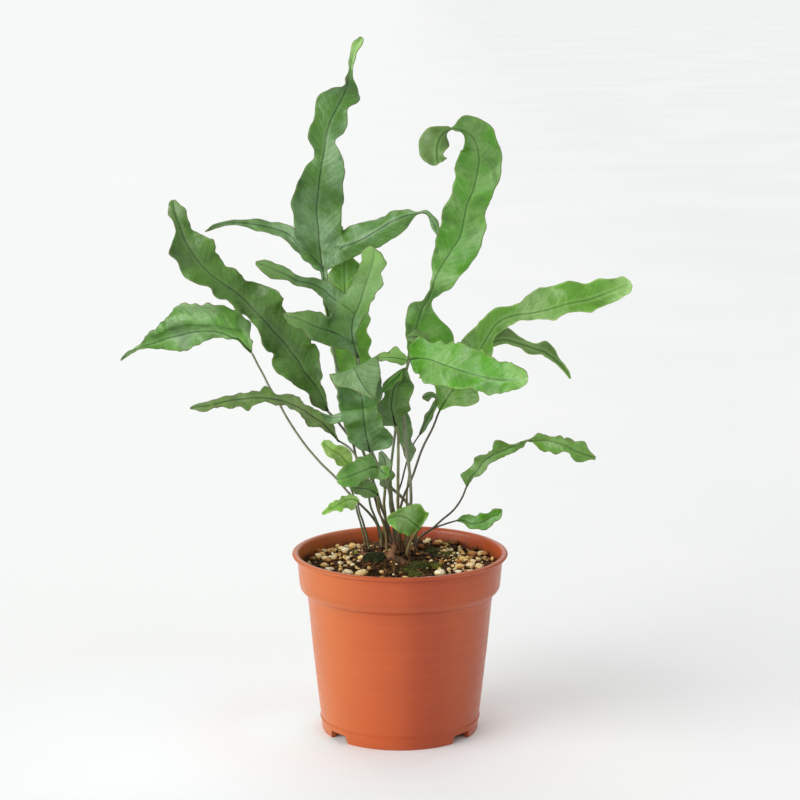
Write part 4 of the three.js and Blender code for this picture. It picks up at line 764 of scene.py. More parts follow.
@dataclass
class Strip:
    """A blade, a lobe or a side strip of a frond as a fine grid of places.

    The wave is full where a side is at least wave_width wide, and comes later on the right side by
    right_lag. A lobe sets out partly its own way and partly the blade's, by the two shares in set_out.
    A finer scallop is a share of the large one and that many times as frequent. Scallops fade out
    towards the ends and towards what is held.
    """

    rows: Rows
    wave: Pair
    cup: float
    columns: int = 24
    step: float = 0.9
    wave_width: float = 8
    right_lag: float = 2.2
    set_out: Pair = (0.45, 0.55)
    scallop_gain: float = 2.6
    fine_scallop: Pair = (0.16, 2.7)
    fade: float = 4
    held_fade: float = 3
    places: np.ndarray = field(init=False)
    widths: np.ndarray = field(init=False)
    travelled: np.ndarray = field(init=False)
    marks: list[int] = field(init=False)

    def cross_rows(self, columns: int) -> np.ndarray:
        """Returns the places across every row, from the left edge to the right edge."""
        centres = [Vector(row[:3]) for row in self.rows]
        last = len(centres) - 1
        height, length = self.wave
        travelled, lines = 0.0, []
        for i, row in enumerate(self.rows):
            left, right, turn = (*row[3:], 0)[:3]
            if i:
                travelled += (centres[i] - centres[i - 1]).length
            along = (centres[min(i + 1, last)] - centres[max(i - 1, 0)]).normalized()
            across = Matrix.Rotation(math.radians(turn), 3, along) @ FRONT.cross(along).normalized()
            up = along.cross(across)
            line = []
            for u in np.linspace(1, -1, columns + 1):
                width = left if u > 0 else right
                phase = math.tau * travelled / length + (0 if u > 0 else self.right_lag)
                ripple = height * min(1, width / self.wave_width) * u * u * math.sin(phase)
                bend = abs(u) ** (2 if self.cup > 0 else 1.25)
                line.append(centres[i] + across * (u * width) + up * (self.cup * width * bend + ripple))
            lines.append(line)
        return np.array(lines)

    def spread(self, edge: np.ndarray | None = None, outwards: np.ndarray | None = None) -> None:
        """Works out the fine grid.

        Args:
            edge: the places on the blade's edge that a lobe starts from.
            outwards: the direction in which the blade reaches that edge, at every place.
        """
        columns = self.columns if edge is None else len(edge) - 1
        controls = self.cross_rows(columns)
        centres = np.array([row[:3] for row in self.rows], dtype=float)
        start = None
        if edge is not None:
            controls = np.concatenate([edge[None], controls])
            centres = np.concatenate([edge.mean(axis=0)[None], centres])
        chords = run_of(centres)
        if edge is not None:
            slope = (controls[1] - controls[0]) / chords[1]
            pace = np.linalg.norm(slope, axis=1, keepdims=True)
            start = slope * self.set_out[0] + outwards * pace * self.set_out[1]
        steps = [max(6, 2 * math.ceil(gap / self.step / 2)) for gap in np.diff(chords)]
        self.travelled = np.concatenate([[0.0]] + [np.linspace(a, b, n + 1)[1:]
                                                   for a, b, n in zip(chords, chords[1:], steps)])
        self.marks = [0, *np.cumsum(steps)]
        self.places = loft(controls, chords, self.travelled, start)
        reach = np.linalg.norm(self.places - self.middle(), axis=2)
        self.widths = reach * np.sign(np.linspace(1, -1, columns + 1))

    def middle(self) -> np.ndarray:
        """Returns the places down the strip's middle."""
        half = self.places.shape[1] // 2
        return self.places[:, half: half + 1]

    def scallop(self, size: Pair, seed: float, held: Sequence[tuple[bool, int, int]] = (),
                teeth: Pair = (1.0, 1.0)) -> None:
        """Draws the two edges in and out a little.

        Args:
            size: about how far an edge moves, and about how long one scallop is.
            seed: a number that tells this strip from others.
            held: stretches of edge that stay where they are: on the left, from mark, to mark.
            teeth: the share of the height on the left and on the right edge.
        """
        rows, columns = self.places.shape[:2]
        height, length = size
        finer, often = self.fine_scallop
        ends = np.minimum(self.travelled, self.travelled[-1] - self.travelled).clip(0, self.fade) / self.fade
        left, right = slice(0, columns // 2), slice(columns // 2 + 1, columns)
        for is_left, picked, rim, side, tooth in ((True, left, 0, 7.3, teeth[0]),
                                                  (False, right, -1, 19.1, teeth[1])):
            free = np.ones(rows)
            for on_left, first, last in held:
                if on_left == is_left:
                    a, b = self.travelled[self.marks[first]], self.travelled[self.marks[last]]
                    away = np.maximum(a - self.travelled, self.travelled - b).clip(0, self.held_fade)
                    free *= away / self.held_fade
            push = np.array([noise.noise((s / length, seed, side))
                             + finer * noise.noise((s / length * often, side, seed))
                             for s in self.travelled])
            push *= self.scallop_gain * height * tooth * free * ends
            arm = self.places[:, picked] - self.middle()
            reach = np.linalg.norm(arm, axis=2, keepdims=True)
            share = np.abs(np.linspace(1, -1, columns))[picked][None, :, None]
            limit = np.minimum(1, reach[:, [rim]] / 4)
            self.places[:, picked] += arm / reach.clip(1e-6) * push[:, None, None] * share**4 * limit

    def add_to(self, bm: Model, pale_tip: Pair) -> list[list[bmesh.types.BMVert]]:
        """Adds the strip to a model.

        Args:
            bm: the model.
            pale_tip: how far the tip is pale, and how much.

        Returns:
            The strip's vertices by row and column.
        """
        rows, columns = self.places.shape[:2]
        flat = bmesh.ops.create_grid(bm, x_segments=columns - 1, y_segments=rows - 1, size=1)["verts"]
        uv = bm.loops.layers.uv["across_along"]
        across, along, tip = (bm.verts.layers.float[name] for name in ("across", "along", "tip"))
        grid = [[None] * columns for _ in range(rows)]
        where = {}
        for vert in flat:
            j = round((vert.co.x + 1) / 2 * (columns - 1))
            i = round((vert.co.y + 1) / 2 * (rows - 1))
            grid[i][j] = vert
            where[vert] = (self.widths[i, j], self.travelled[i])
            vert.co = self.places[i, j]
            vert[across], vert[along] = where[vert]
            left = self.travelled[-1] - self.travelled[i]
            vert[tip] = pale_tip[1] * max(0.0, 1 - left / max(1.0, pale_tip[0])) ** 0.6
        for face in {f for v in flat for f in v.link_faces}:
            for loop in face.loops:
                loop[uv].uv = where[loop.vert]
        return grid


@dataclass(frozen=True)
class Relief:
    """How high the forms on a blade's surface are, and how long, wide or far from the edge."""

    ruffle: float = 1.5
    ruffle_length: float = 5.5
    ruffle_reach: float = 6
    swell: float = 1.9
    swell_length: float = 16
    lump: float = 0.35
    lump_length: float = 6
    quilt: float = 0.06
    groove: float = 0.4
    groove_width: float = 1.5


class Frond:
    """One leaf: its blade with lobes, its rib and its stem.

    A rib is rib_radius thick, and more by the first share of rib_thicker of the stem's radius. The second
    share of it goes towards the rib's tip. Over foot_length the main rib is still about as thick as the
    stem. The rib of a lobe is joined to it by a curve that follows it for bridge_rows.
    """

    thickness: float = 0.45
    forms: Relief = Relief()
    stem_wander: float = 0.35
    rib_radius: float = 0.225
    rib_thicker: Pair = (0.13, 0.10)
    foot_length: float = 14
    lobe_rib: float = 0.8
    bridge_rows: int = 6

    def __init__(self, shape: FrondShape, seed: int) -> None:
        """Keeps the frond's measures.

        Args:
            shape: the measures.
            seed: a number that tells this frond from the others.
        """
        self.shape = shape
        self.seed = seed
        self.ribs: list[tuple[np.ndarray, float]] = []

    def strip(self, rows: Rows, cup: float) -> Strip:
        """Returns a strip of this frond with enough columns for its width."""
        widest = max(row[3] + row[4] for row in rows)
        return Strip(rows, self.shape.wave, cup, columns=12 if widest < 9 else 18 if widest < 16 else 26,
                     step=0.7 if widest < 12 else 0.95)

    def grow(self, bm: Model, main: Strip, lobe: Lobe, seed: int) -> list[bmesh.types.BMVert]:
        """Adds a lobe to a model, from the blade's edge on.

        Args:
            bm: the model.
            main: the blade.
            lobe: the lobe's measures.
            seed: a number that tells this lobe from other strips.

        Returns:
            The vertices down the lobe's middle.
        """
        span = slice(main.marks[lobe.first], main.marks[lobe.last] + 1)
        edge, near = main.places[span, 0 if lobe.left else -1], main.places[span, 1 if lobe.left else -2]
        if not lobe.left:
            edge, near = edge[::-1], near[::-1]
        outwards = edge - near
        outwards /= np.linalg.norm(outwards, axis=1, keepdims=True)
        part = self.strip(lobe.rows, lobe.cup)
        part.spread(edge, outwards)
        height, length = self.shape.scallop
        part.scallop((height * 0.7, length), seed, [(True, 0, 1), (False, 0, 1)])
        grid = part.add_to(bm, self.shape.pale_lobes)
        return [row[len(row) // 2] for row in grid]

    def blade(self) -> Model:
        """Returns the middle surface of the blade with its lobes and side strips."""
        shape = self.shape
        bm = bmesh.new()
        bm.loops.layers.uv.new("across_along")
        for name in ("across", "along", "tip", "margin"):
            bm.verts.layers.float.new(name)
        main = self.strip(shape.blade, shape.cup)
        main.spread()
        main.scallop(shape.scallop, self.seed, [(b.left, b.first, b.last) for b in shape.lobes], shape.teeth)
        rib_lines = [[row[len(row) // 2] for row in main.add_to(bm, shape.pale_tip)]]
        joints = []
        for n, lobe in enumerate(shape.lobes):
            middle = self.grow(bm, main, lobe, self.seed + 40 + n)
            if lobe.rib_from >= 0:
                joints.append((main.marks[lobe.rib_from], middle))
        for n, rows in enumerate(shape.branches):
            side = self.strip(rows, shape.cup)
            side.spread()
            side.scallop(shape.scallop, self.seed + 80 + n)
            grid = side.add_to(bm, (500, 0 if n else shape.pale_branch))
            rib_lines.append([row[len(row) // 2] for row in grid])
        bmesh.ops.remove_doubles(bm, verts=bm.verts, dist=0.002)
        bm.normal_update()
        self.relief(bm)
        self.ribs = [(np.array([v.co for v in line if v.is_valid]), 1.0) for line in rib_lines]
        self.join_ribs(joints, BVHTree.FromBMesh(bm))
        return bm

    def join_ribs(self, joints: Iterable[tuple[int, list[bmesh.types.BMVert]]], surface: BVHTree) -> None:
        """Adds the ribs of the lobes, each with a curve that joins it to the blade's rib.

        Args:
            joints: the row on the blade that a rib starts from, and the vertices down the lobe's middle.
            surface: the surface that the curves lie on.
        """
        rib = self.ribs[0][0]
        for at, middle in joints:
            outer = np.array([v.co for v in middle if v.is_valid])[5:]
            origin = rib[at]
            bend = origin + (rib[min(at + self.bridge_rows, len(rib) - 1)] - origin) * 0.6
            bridge = [(1 - t) ** 2 * origin + 2 * t * (1 - t) * bend + t * t * outer[0]
                      for t in np.linspace(0, 1, 14)[:-1]]
            snapped = [surface.find_nearest(Vector(p))[0] for p in bridge]
            self.ribs.append((np.concatenate([np.array(snapped), outer]), self.lobe_rib))

    def relief(self, bm: Model) -> None:
        """Gives the surface its ruffled edges, its swells between the veins and its sunk rib."""
        margin, across, along = (bm.verts.layers.float[name] for name in ("margin", "across", "along"))
        rim = [v for v in bm.verts if v.is_boundary]
        tree = KDTree(len(rim))
        for i, vert in enumerate(rim):
            tree.insert(vert.co, i)
        tree.balance()
        shift = Vector((self.seed * 3.7, self.seed * 1.9, 0))
        middle, high, broad = self.shape.pleat
        size, veins = self.forms, self.shape.leaf.value
        moves = []
        for vert in bm.verts:
            gap = min(8.0, tree.find(vert.co)[2])
            vert[margin] = gap
            near = (1 - min(1, gap / size.ruffle_reach)) ** 2
            place = vert.co + shift
            side, run = abs(vert[across]), vert[along]
            rise = size.ruffle * near * noise.noise(place / size.ruffle_length)
            rise += size.swell * noise.noise(place / size.swell_length)
            rise += size.lump * noise.noise(place / size.lump_length) * min(1, side / 2)
            beat = math.tau * (run - veins.vein_slant * side) / veins.vein_spacing
            beat += 3 * noise.noise(place / 8)
            rise += size.quilt * math.cos(beat) * min(1, side / 4) * min(1, gap / 3)
            rise -= size.groove * math.exp(-((side / size.groove_width) ** 2)) * min(1, gap / 2)
            rise += high * math.exp(-(((vert[across] - middle) / broad) ** 2)) * min(1, gap / 3, run / 14)
            moves.append(vert.normal * rise)
        for vert, move in zip(bm.verts, moves):
            vert.co += move

    def stem(self) -> Model:
        """Returns the stem and the ribs that run on from it."""
        bm = bmesh.new()
        foot, top = self.shape.radii
        thicker, thinning = self.rib_thicker
        path = smooth_path(self.shape.stem, 2.2)
        path[1:-1] += np.array([noise.noise_vector(Vector(p) / 11) for p in path[1:-1]]) * self.stem_wander
        radii = np.linspace(foot * 0.92, top * 0.85, len(path))
        radii[:6] *= np.linspace(1.25, 1.0, 6)
        add_tube(bm, path, radii, 10)
        for n, (line, share) in enumerate(self.ribs):
            run = run_of(line)
            widths = self.rib_radius + (thicker - thinning * (run / run[-1])) * share * top
            if n == 0:
                widths = np.maximum(widths, top * 0.9 * (1 - run / self.foot_length))
            widths[-3:] = 0.1
            add_tube(bm, line[::2], widths[::2], 6, 1)
        return bm

    def build(self, finishes: "Finishes") -> None:
        """Builds and dresses the frond in the plant's materials."""
        shape = self.shape
        node = f"frond_{shape.name}"
        upper, under, edge, midrib = finishes.leaf(shape.leaf)
        blade = to_piece(self.blade(), f"{node}_blade", (upper, under, edge))
        skin = blade.modifiers.new("thickness", "SOLIDIFY")
        skin.thickness, skin.offset = self.thickness * MM, 0.0
        skin.material_offset, skin.material_offset_rim = 1, 2
        skin.use_quality_normals = True
        bake_modifiers(blade)
        stem = to_piece(self.stem(), f"{node}_stem", (finishes.petiole(shape.petiole), midrib))
        dress((blade, stem), node)


class Finishes:
    """Every material of the plant, made once and handed out."""

    def __init__(self) -> None:
        """Starts with nothing made."""
        self.leaves: dict[Leaf, tuple[Material, ...]] = {}
        self.stems: dict[Petiole, Material] = {}

    def leaf(self, kind: Leaf) -> tuple[Material, ...]:
        """Returns the upper face, the under face, the rim and the rib of a kind of leaf."""
        if kind not in self.leaves:
            look = kind.value
            self.leaves[kind] = (look.face(True), look.face(False), look.edge(), look.midrib())
        return self.leaves[kind]

    def petiole(self, kind: Petiole) -> Material:
        """Returns the material of a kind of stem."""
        if kind not in self.stems:
            self.stems[kind] = kind.value.material()
        return self.stems[kind]


@dataclass(frozen=True)
class PotFinish:
    """Satin plastic in the colour of fired clay. Painted light makes its left paler, and painted shade makes
    it deeper right of its middle.
    """

    body: Colour = (178, 80, 36)
    # a deeper clay colour for random patches, also used as painted shade right of the middle
    deep: Colour = (158, 62, 29)
    # painted light: the paler colour laid on the pot's lit left side
    painted_lit_side: Colour = (188, 106, 48)
    dust: Colour = (198, 116, 74)
    soiled: Colour = (88, 54, 33)

    def material(self) -> Material:
        """Returns the pot's material."""
        s = Shader("pot_plastic", self.body)
        x, _, z = s.split(s.places)
        radius = s.reach()
        rings = s.noise(1.0, 2, 0.1, s.join(s.times(radius, 40.0), 0.0, s.times(z, 260.0)))
        s.coat(s.patches(22, 3, 0.35, 0.7, 0.0, 0.3), self.deep)
        # painted light: the lit left side is painted paler
        s.coat(s.ramp(x, -0.048, -0.008, 0.6, 0.0), self.painted_lit_side)
        # painted shade: a band right of the middle is painted deeper, where the lit side turns to the shaded
        # side
        s.coat(s.times(s.ramp(x, -0.004, 0.012, 0.0, 0.75), s.ramp(x, 0.018, 0.034, 1.0, 0.0)), self.deep)
        s.coat(s.ramp(rings, 0.45, 0.75, 0.0, 0.08), self.dust)
        s.coat(s.patches(1400, 3, 0.58, 0.78, 0.0, 0.22), self.dust)
        s.coat(s.patches(700, 4, 0.62, 0.8, 0.0, 0.3), self.deep)
        inside = s.times(s.ramp(z, 0.0935, 0.099, 1.0, 0.0), s.ramp(z, 0.082, 0.086),
                         s.ramp(radius, 0.0554, 0.0562, 1.0, 0.0))
        s.coat(s.times(inside, s.patches(260, 4, 0.3, 0.62, 0.25, 1.0)), self.soiled)
        scuffs = s.noise(1.0, 4, 0.6, s.stretched((60, 60, 420)))
        normal = s.bump(rings, 0.035, s.bump(s.noise(60, 2), 0.5, s.bump(s.noise(2600, 2), 0.02)))
        return s.finish(s.ramp(scuffs, 0.35, 0.7, 0.28, 0.38), normal, Specular_IOR_Level=0.4)


@dataclass
class Pot:
    """A thin-walled nursery pot: rolled lip, collar, tapered body, seam ring and notched foot."""

    height: float = 101.7
    rim_radius: float = 60.0
    lip_height: float = 2.4
    band_radius: float = 57.2
    band_foot: float = 79.5
    body_top_radius: float = 52.1
    seam_radius: float = 44.5
    seam_height: float = 7.5
    seam_width: float = 0.6
    taper: float = 0.107
    foot_radius: float = 43.8
    wall: float = 1.2
    floor_height: float = 5.0
    centre_foot_radius: float = 14.0
    ring_width: float = 2.6
    notch_height: float = 4.7
    notch_width: Pair = (15.4, 12.4)
    notch_angles: tuple[float, ...] = (-129, -51, 51, 129)
    drain_radius: float = 4.2
    drain_circle: float = 27.0
    drains: int = 6
    steps: int = 144
    sharp_above: float = 38
    finish: PotFinish = PotFinish()

    def profile(self) -> list[Pair]:
        """Returns the outline of the wall as radius and height, from the middle of the foot."""
        top, lip, wall, band = self.height, self.height - self.lip_height, self.wall, self.band_foot
        rim, collar, body, seam = self.rim_radius, self.band_radius, self.body_top_radius, self.seam_radius
        centre, foot, ring = self.centre_foot_radius, self.foot_radius, self.foot_radius - self.ring_width
        middle, seam_top, floor = self.seam_height, self.seam_height + self.seam_width, self.floor_height
        return [
            (0, 0), (centre, 0), (centre + 1.6, floor), (ring - 1.4, floor), (ring - 0.6, 0),
            (foot - 0.7, 0), (foot, 0.8), (seam - 0.1, middle - self.seam_width),
            (seam + 0.4, middle - 0.15), (seam + 0.4, middle + 0.15), (seam, seam_top),
            (seam + self.taper * 21, 28), (seam + self.taper * 43, 50), (body - 0.9, band - 6),
            (body - 0.1, band - 0.6), (body + 0.3, band), (body + 1.5, band + 0.5),
            (body + 2.6, band + 1.3), (collar - 1.6, band + 2.6), (collar - 1.3, band + 3.9),
            (collar - 1.1, band + 6), (collar - 0.5, band + 13), (collar - 0.15, lip - 0.5),
            (collar + 0.4, lip), (rim - 0.9, lip + 0.1), (rim - 0.25, lip + 0.6), (rim, lip + 1.3),
            (rim - 0.3, top - 0.55), (rim - 1.1, top - 0.12), (rim - 2.2, top), (rim - 3.2, top - 0.35),
            (rim - 3.8, top - 1.2), (collar - wall - 0.1, lip), (collar - 1.1 - wall, band + 6),
            (collar - 1.3 - wall, band + 4.3), (body + 1.4 - wall, band + 1.8), (body - wall, band + 0.4),
            (seam - wall, seam_top + 0.4), (foot - wall - 1, floor + wall), (centre + 1.2, floor + wall),
            (centre - 0.8, wall), (0, wall)]

    def cutters(self) -> Model:
        """Returns the blocks that cut the notches and the rods that cut the drain holes."""
        bm = bmesh.new()
        wide, narrow = self.notch_width
        for angle in self.notch_angles:
            block = bmesh.ops.create_cube(bm, size=1)["verts"]
            for vert in block:
                half = narrow / 2 if vert.co.z > 0 else wide / 2
                vert.co = (math.copysign(half, vert.co.x), vert.co.y * 12 - self.foot_radius + 2,
                           self.notch_height if vert.co.z > 0 else -1)
            bmesh.ops.rotate(bm, verts=block, cent=(0, 0, 0),
                             matrix=Matrix.Rotation(math.radians(angle), 3, "Z"))
        for i in range(self.drains):
            spot = Matrix.Rotation(math.tau * (i + 0.5) / self.drains, 4, "Z")
            spot @= Matrix.Translation((self.drain_circle, 0, self.floor_height))
            bmesh.ops.create_cone(bm, cap_ends=True, segments=32, radius1=self.drain_radius,
                                  radius2=self.drain_radius, depth=6, matrix=spot)
        bmesh.ops.recalc_face_normals(bm, faces=bm.faces)
        return bm

    def build(self) -> None:
        """Builds and dresses the pot."""
        pot = to_piece(turned(self.profile(), self.steps), "pot_shell", ())
        tools = to_piece(self.cutters(), "pot_cutters", ())
        cut = pot.modifiers.new("notches", "BOOLEAN")
        cut.operation, cut.object, cut.solver = "DIFFERENCE", tools, "EXACT"
        bake_modifiers(pot)
        bpy.data.objects.remove(tools)
        pot.data.shade_smooth()
        pot.data.set_sharp_from_angle(angle=math.radians(self.sharp_above))
        pot.data.materials.clear()
        pot.data.materials.append(self.finish.material())
        dress((pot,), "pot")


def turned(profile: Sequence[Pair], steps: int) -> Model:
    """Turns a profile about the Z axis.

    Args:
        profile: radius and height of every point, with both ends on the axis.
        steps: how many steps there are in the full turn.

    Returns:
        The closed model.
    """
    bm = bmesh.new()
    verts = [bm.verts.new((0, -radius, height)) for radius, height in profile]
    edges = [bm.edges.new(pair) for pair in zip(verts, verts[1:])]
    bmesh.ops.spin(bm, geom=[*verts, *edges], cent=(0, 0, 0), axis=(0, 0, 1), angle=math.tau,
                   steps=steps, use_merge=True)
    bmesh.ops.remove_doubles(bm, verts=bm.verts, dist=0.001)
    bmesh.ops.dissolve_degenerate(bm, edges=bm.edges, dist=0.0005)
    bmesh.ops.recalc_face_normals(bm, faces=bm.faces)
    return bm


class Tone(Enum):
    """Where on the range from white to dark brown a grain's colour lies."""

    WHITE = 0.03
    CREAM = 0.16
    YELLOW = 0.30
    TAN = 0.45
    ORANGE = 0.60
    BROWN = 0.78
    DARK = 0.95


@dataclass(frozen=True)
class GroundFinish:
    """The materials of the peat, the grains and the moss."""

    peat: Colour = (32, 21, 10)
    crumb: Colour = (112, 80, 38)
    wet: Colour = (14, 8, 4)
    fibre: Colour = (200, 160, 98)
    grains: tuple[Colour, ...] = ((252, 242, 212), (244, 218, 162), (232, 194, 118), (192, 148, 86),
                                  (168, 102, 44), (92, 58, 28), (36, 24, 14))
    pit: Colour = (92, 62, 34)
    stain: Colour = (104, 68, 34)
    moss: Colour = (42, 50, 14)
    sprout: Colour = (150, 150, 50)
    # painted shade: the colour of the moss's shaded hollows
    hollow_shade: Colour = (16, 22, 5)

    def soil(self) -> Material:
        """Returns the material of the damp peat."""
        s = Shader("soil_peat", self.peat)
        s.coat(s.patches(420, 4, 0.42, 0.66), self.crumb)
        s.coat(s.patches(90, 3, 0.5, 0.7, 0.0, 0.6), self.wet)
        s.coat(s.ramp(s.cells(700), 0.0, 0.22, 0.5, 0.0), self.fibre)
        return s.finish(s.patches(300, 3, 0.3, 0.7, 0.7, 0.95), s.bump(s.noise(900, 5), 0.9),
                        Specular_IOR_Level=0.12)

    def grain(self) -> Material:
        """Returns the material of the pumice grains, from white to brown by their tone."""
        s = Shader("soil_grain")
        tone = s.math("ADD", s.attribute("tone"), s.patches(330, 3, 0.3, 0.75, -0.07, 0.13))
        scale = s.node("ShaderNodeValToRGB", {0: tone})
        steps = scale.color_ramp.elements
        while len(steps) < len(self.grains):
            steps.new(0.5)
        for i, (step, colour) in enumerate(zip(steps, self.grains)):
            step.position = i / (len(self.grains) - 1)
            step.color = linear(colour)
        s.colour = scale.outputs[0]
        pits = s.ramp(s.cells(950), 0.12, 0.36, 1.0, 0.0)
        s.coat(s.times(pits, 0.6), self.pit)
        s.coat(s.patches(620, 4, 0.52, 0.7, 0.0, 0.55), self.stain)
        return s.finish(0.8, s.bump(s.noise(1500, 4), 0.18, s.bump(pits, -0.22)), Specular_IOR_Level=0.2)

    def green(self) -> Material:
        """Returns the material of the moss."""
        s = Shader("soil_moss", self.moss)
        s.coat(s.attribute("tone"), self.sprout)
        # painted shade: near-black patches stand in for the shade in the hollows between the moss leaves
        s.coat(s.patches(600, 3, 0.4, 0.7, 0.0, 0.6), self.hollow_shade)
        return s.finish(0.75, s.bump(s.noise(1800, 3), 0.2), Specular_IOR_Level=0.25)


WHITE, CREAM, YELLOW, TAN, ORANGE, BROWN, DARK = Tone

# Grains that can be told apart: x, y, half length, half width, turn in degrees, tone
GRAINS = (
    (-47, 29, 2.5, 1.8, 10, ORANGE), (-46, 15, 2.5, 2.1, -30, CREAM), (-43, 32, 2.1, 1.2, 20, CREAM),
    (-44, 21, 2.2, 1.6, -20, TAN), (-39, 26, 2.6, 2.1, -15, TAN), (-36, 40, 1.4, 1.6, 80, YELLOW),
    (-33, 33, 2.3, 1.6, 30, CREAM), (-31, 26, 2.7, 1.7, 5, WHITE), (-27, 35, 2.3, 2.1, 60, YELLOW),
    (-24, 39, 1.3, 1.3, 0, CREAM), (-20, 44, 1.3, 1.2, 0, YELLOW), (-42, 11, 2.3, 1.6, -25, CREAM),
    (-40, 6, 1.9, 1.9, 0, TAN), (-37, 10, 1.8, 2.2, 70, CREAM), (-42, -3, 2.3, 1.5, 5, CREAM),
    (-39, -11, 2.7, 1.3, 10, WHITE), (-33, -2, 1.5, 1.3, 25, WHITE), (-29, 5, 1.7, 1.3, 20, WHITE),
    (-28, -5, 1.7, 1.5, 0, CREAM), (-28, -20, 2.9, 1.9, 15, WHITE), (-21, -23, 3.5, 2.6, 20, CREAM),
    (-17, -16, 1.4, 1.5, 0, TAN), (-10, -20, 1.5, 1.2, -20, YELLOW), (-16, 31, 1.8, 0.9, 0, CREAM),
    (-50, -4, 1.9, 1.1, 0, YELLOW), (-34, 17, 1.7, 1.3, 40, ORANGE), (-46, -9, 1.9, 1.1, 0, BROWN),
    (-36, 19, 1.2, 1.0, 0, YELLOW), (10, 43, 2.5, 1.8, 30, ORANGE), (8, 47, 1.6, 1.4, 0, TAN),
    (16, 45, 2.1, 1.5, 0, CREAM), (15, 38, 1.9, 1.1, 0, WHITE), (22, 45, 2.1, 1.5, 20, CREAM),
    (23, 41, 1.4, 1.6, 70, YELLOW), (27, 40, 1.7, 1.0, 5, CREAM), (31, 43, 2.8, 2.6, 0, BROWN),
    (31, 32, 2.2, 1.7, 0, DARK), (36, 36, 2.1, 1.3, -10, DARK), (21, 36, 2.1, 1.6, 15, ORANGE),
    (27, 31, 0.8, 0.8, 0, WHITE), (30, 19, 1.3, 1.5, 60, CREAM), (35, 26, 1.8, 1.2, -10, TAN),
    (43, 34, 1.8, 1.9, 0, BROWN), (46, 28, 1.7, 1.1, 10, CREAM), (48, 22, 2.1, 1.9, 0, ORANGE),
    (52, 11, 0.9, 1.8, 10, YELLOW), (41, 20, 2.8, 2.3, 35, ORANGE), (44, 11, 1.6, 1.3, 40, CREAM),
    (36, 7, 3.1, 1.8, -35, YELLOW), (33, 2, 1.9, 1.5, -25, ORANGE), (41, 5, 1.9, 1.5, 10, CREAM),
    (39, -7, 2.8, 2.2, 40, CREAM), (33, -9, 2.9, 1.7, 20, YELLOW), (44, -7, 2.5, 1.9, 20, CREAM),
    (32, -18, 2.5, 1.3, 5, WHITE), (27, -16, 1.1, 1.5, 80, CREAM), (22, -24, 3.0, 2.4, -10, WHITE),
    (36, -16, 1.3, 1.1, 0, TAN), (27, -27, 1.0, 0.9, 0, CREAM), (16, -29, 1.5, 1.0, 0, WHITE),
    (3, -29, 1.6, 1.2, 5, YELLOW), (6, 24, 1.4, 1.7, 75, CREAM), (4, 15, 1.2, 1.7, 65, CREAM),
    (8, 11, 2.4, 1.9, 20, ORANGE), (12, 21, 2.5, 2.1, -20, BROWN), (10, 6, 1.3, 1.0, 0, ORANGE),
    (-39, 39, 0.6, 0.6, 0, WHITE), (-2, -11, 0.8, 0.8, 0, WHITE), (15, -14, 0.8, 0.6, 0, YELLOW),
    (22, -4, 0.7, 0.6, 0, YELLOW),
)


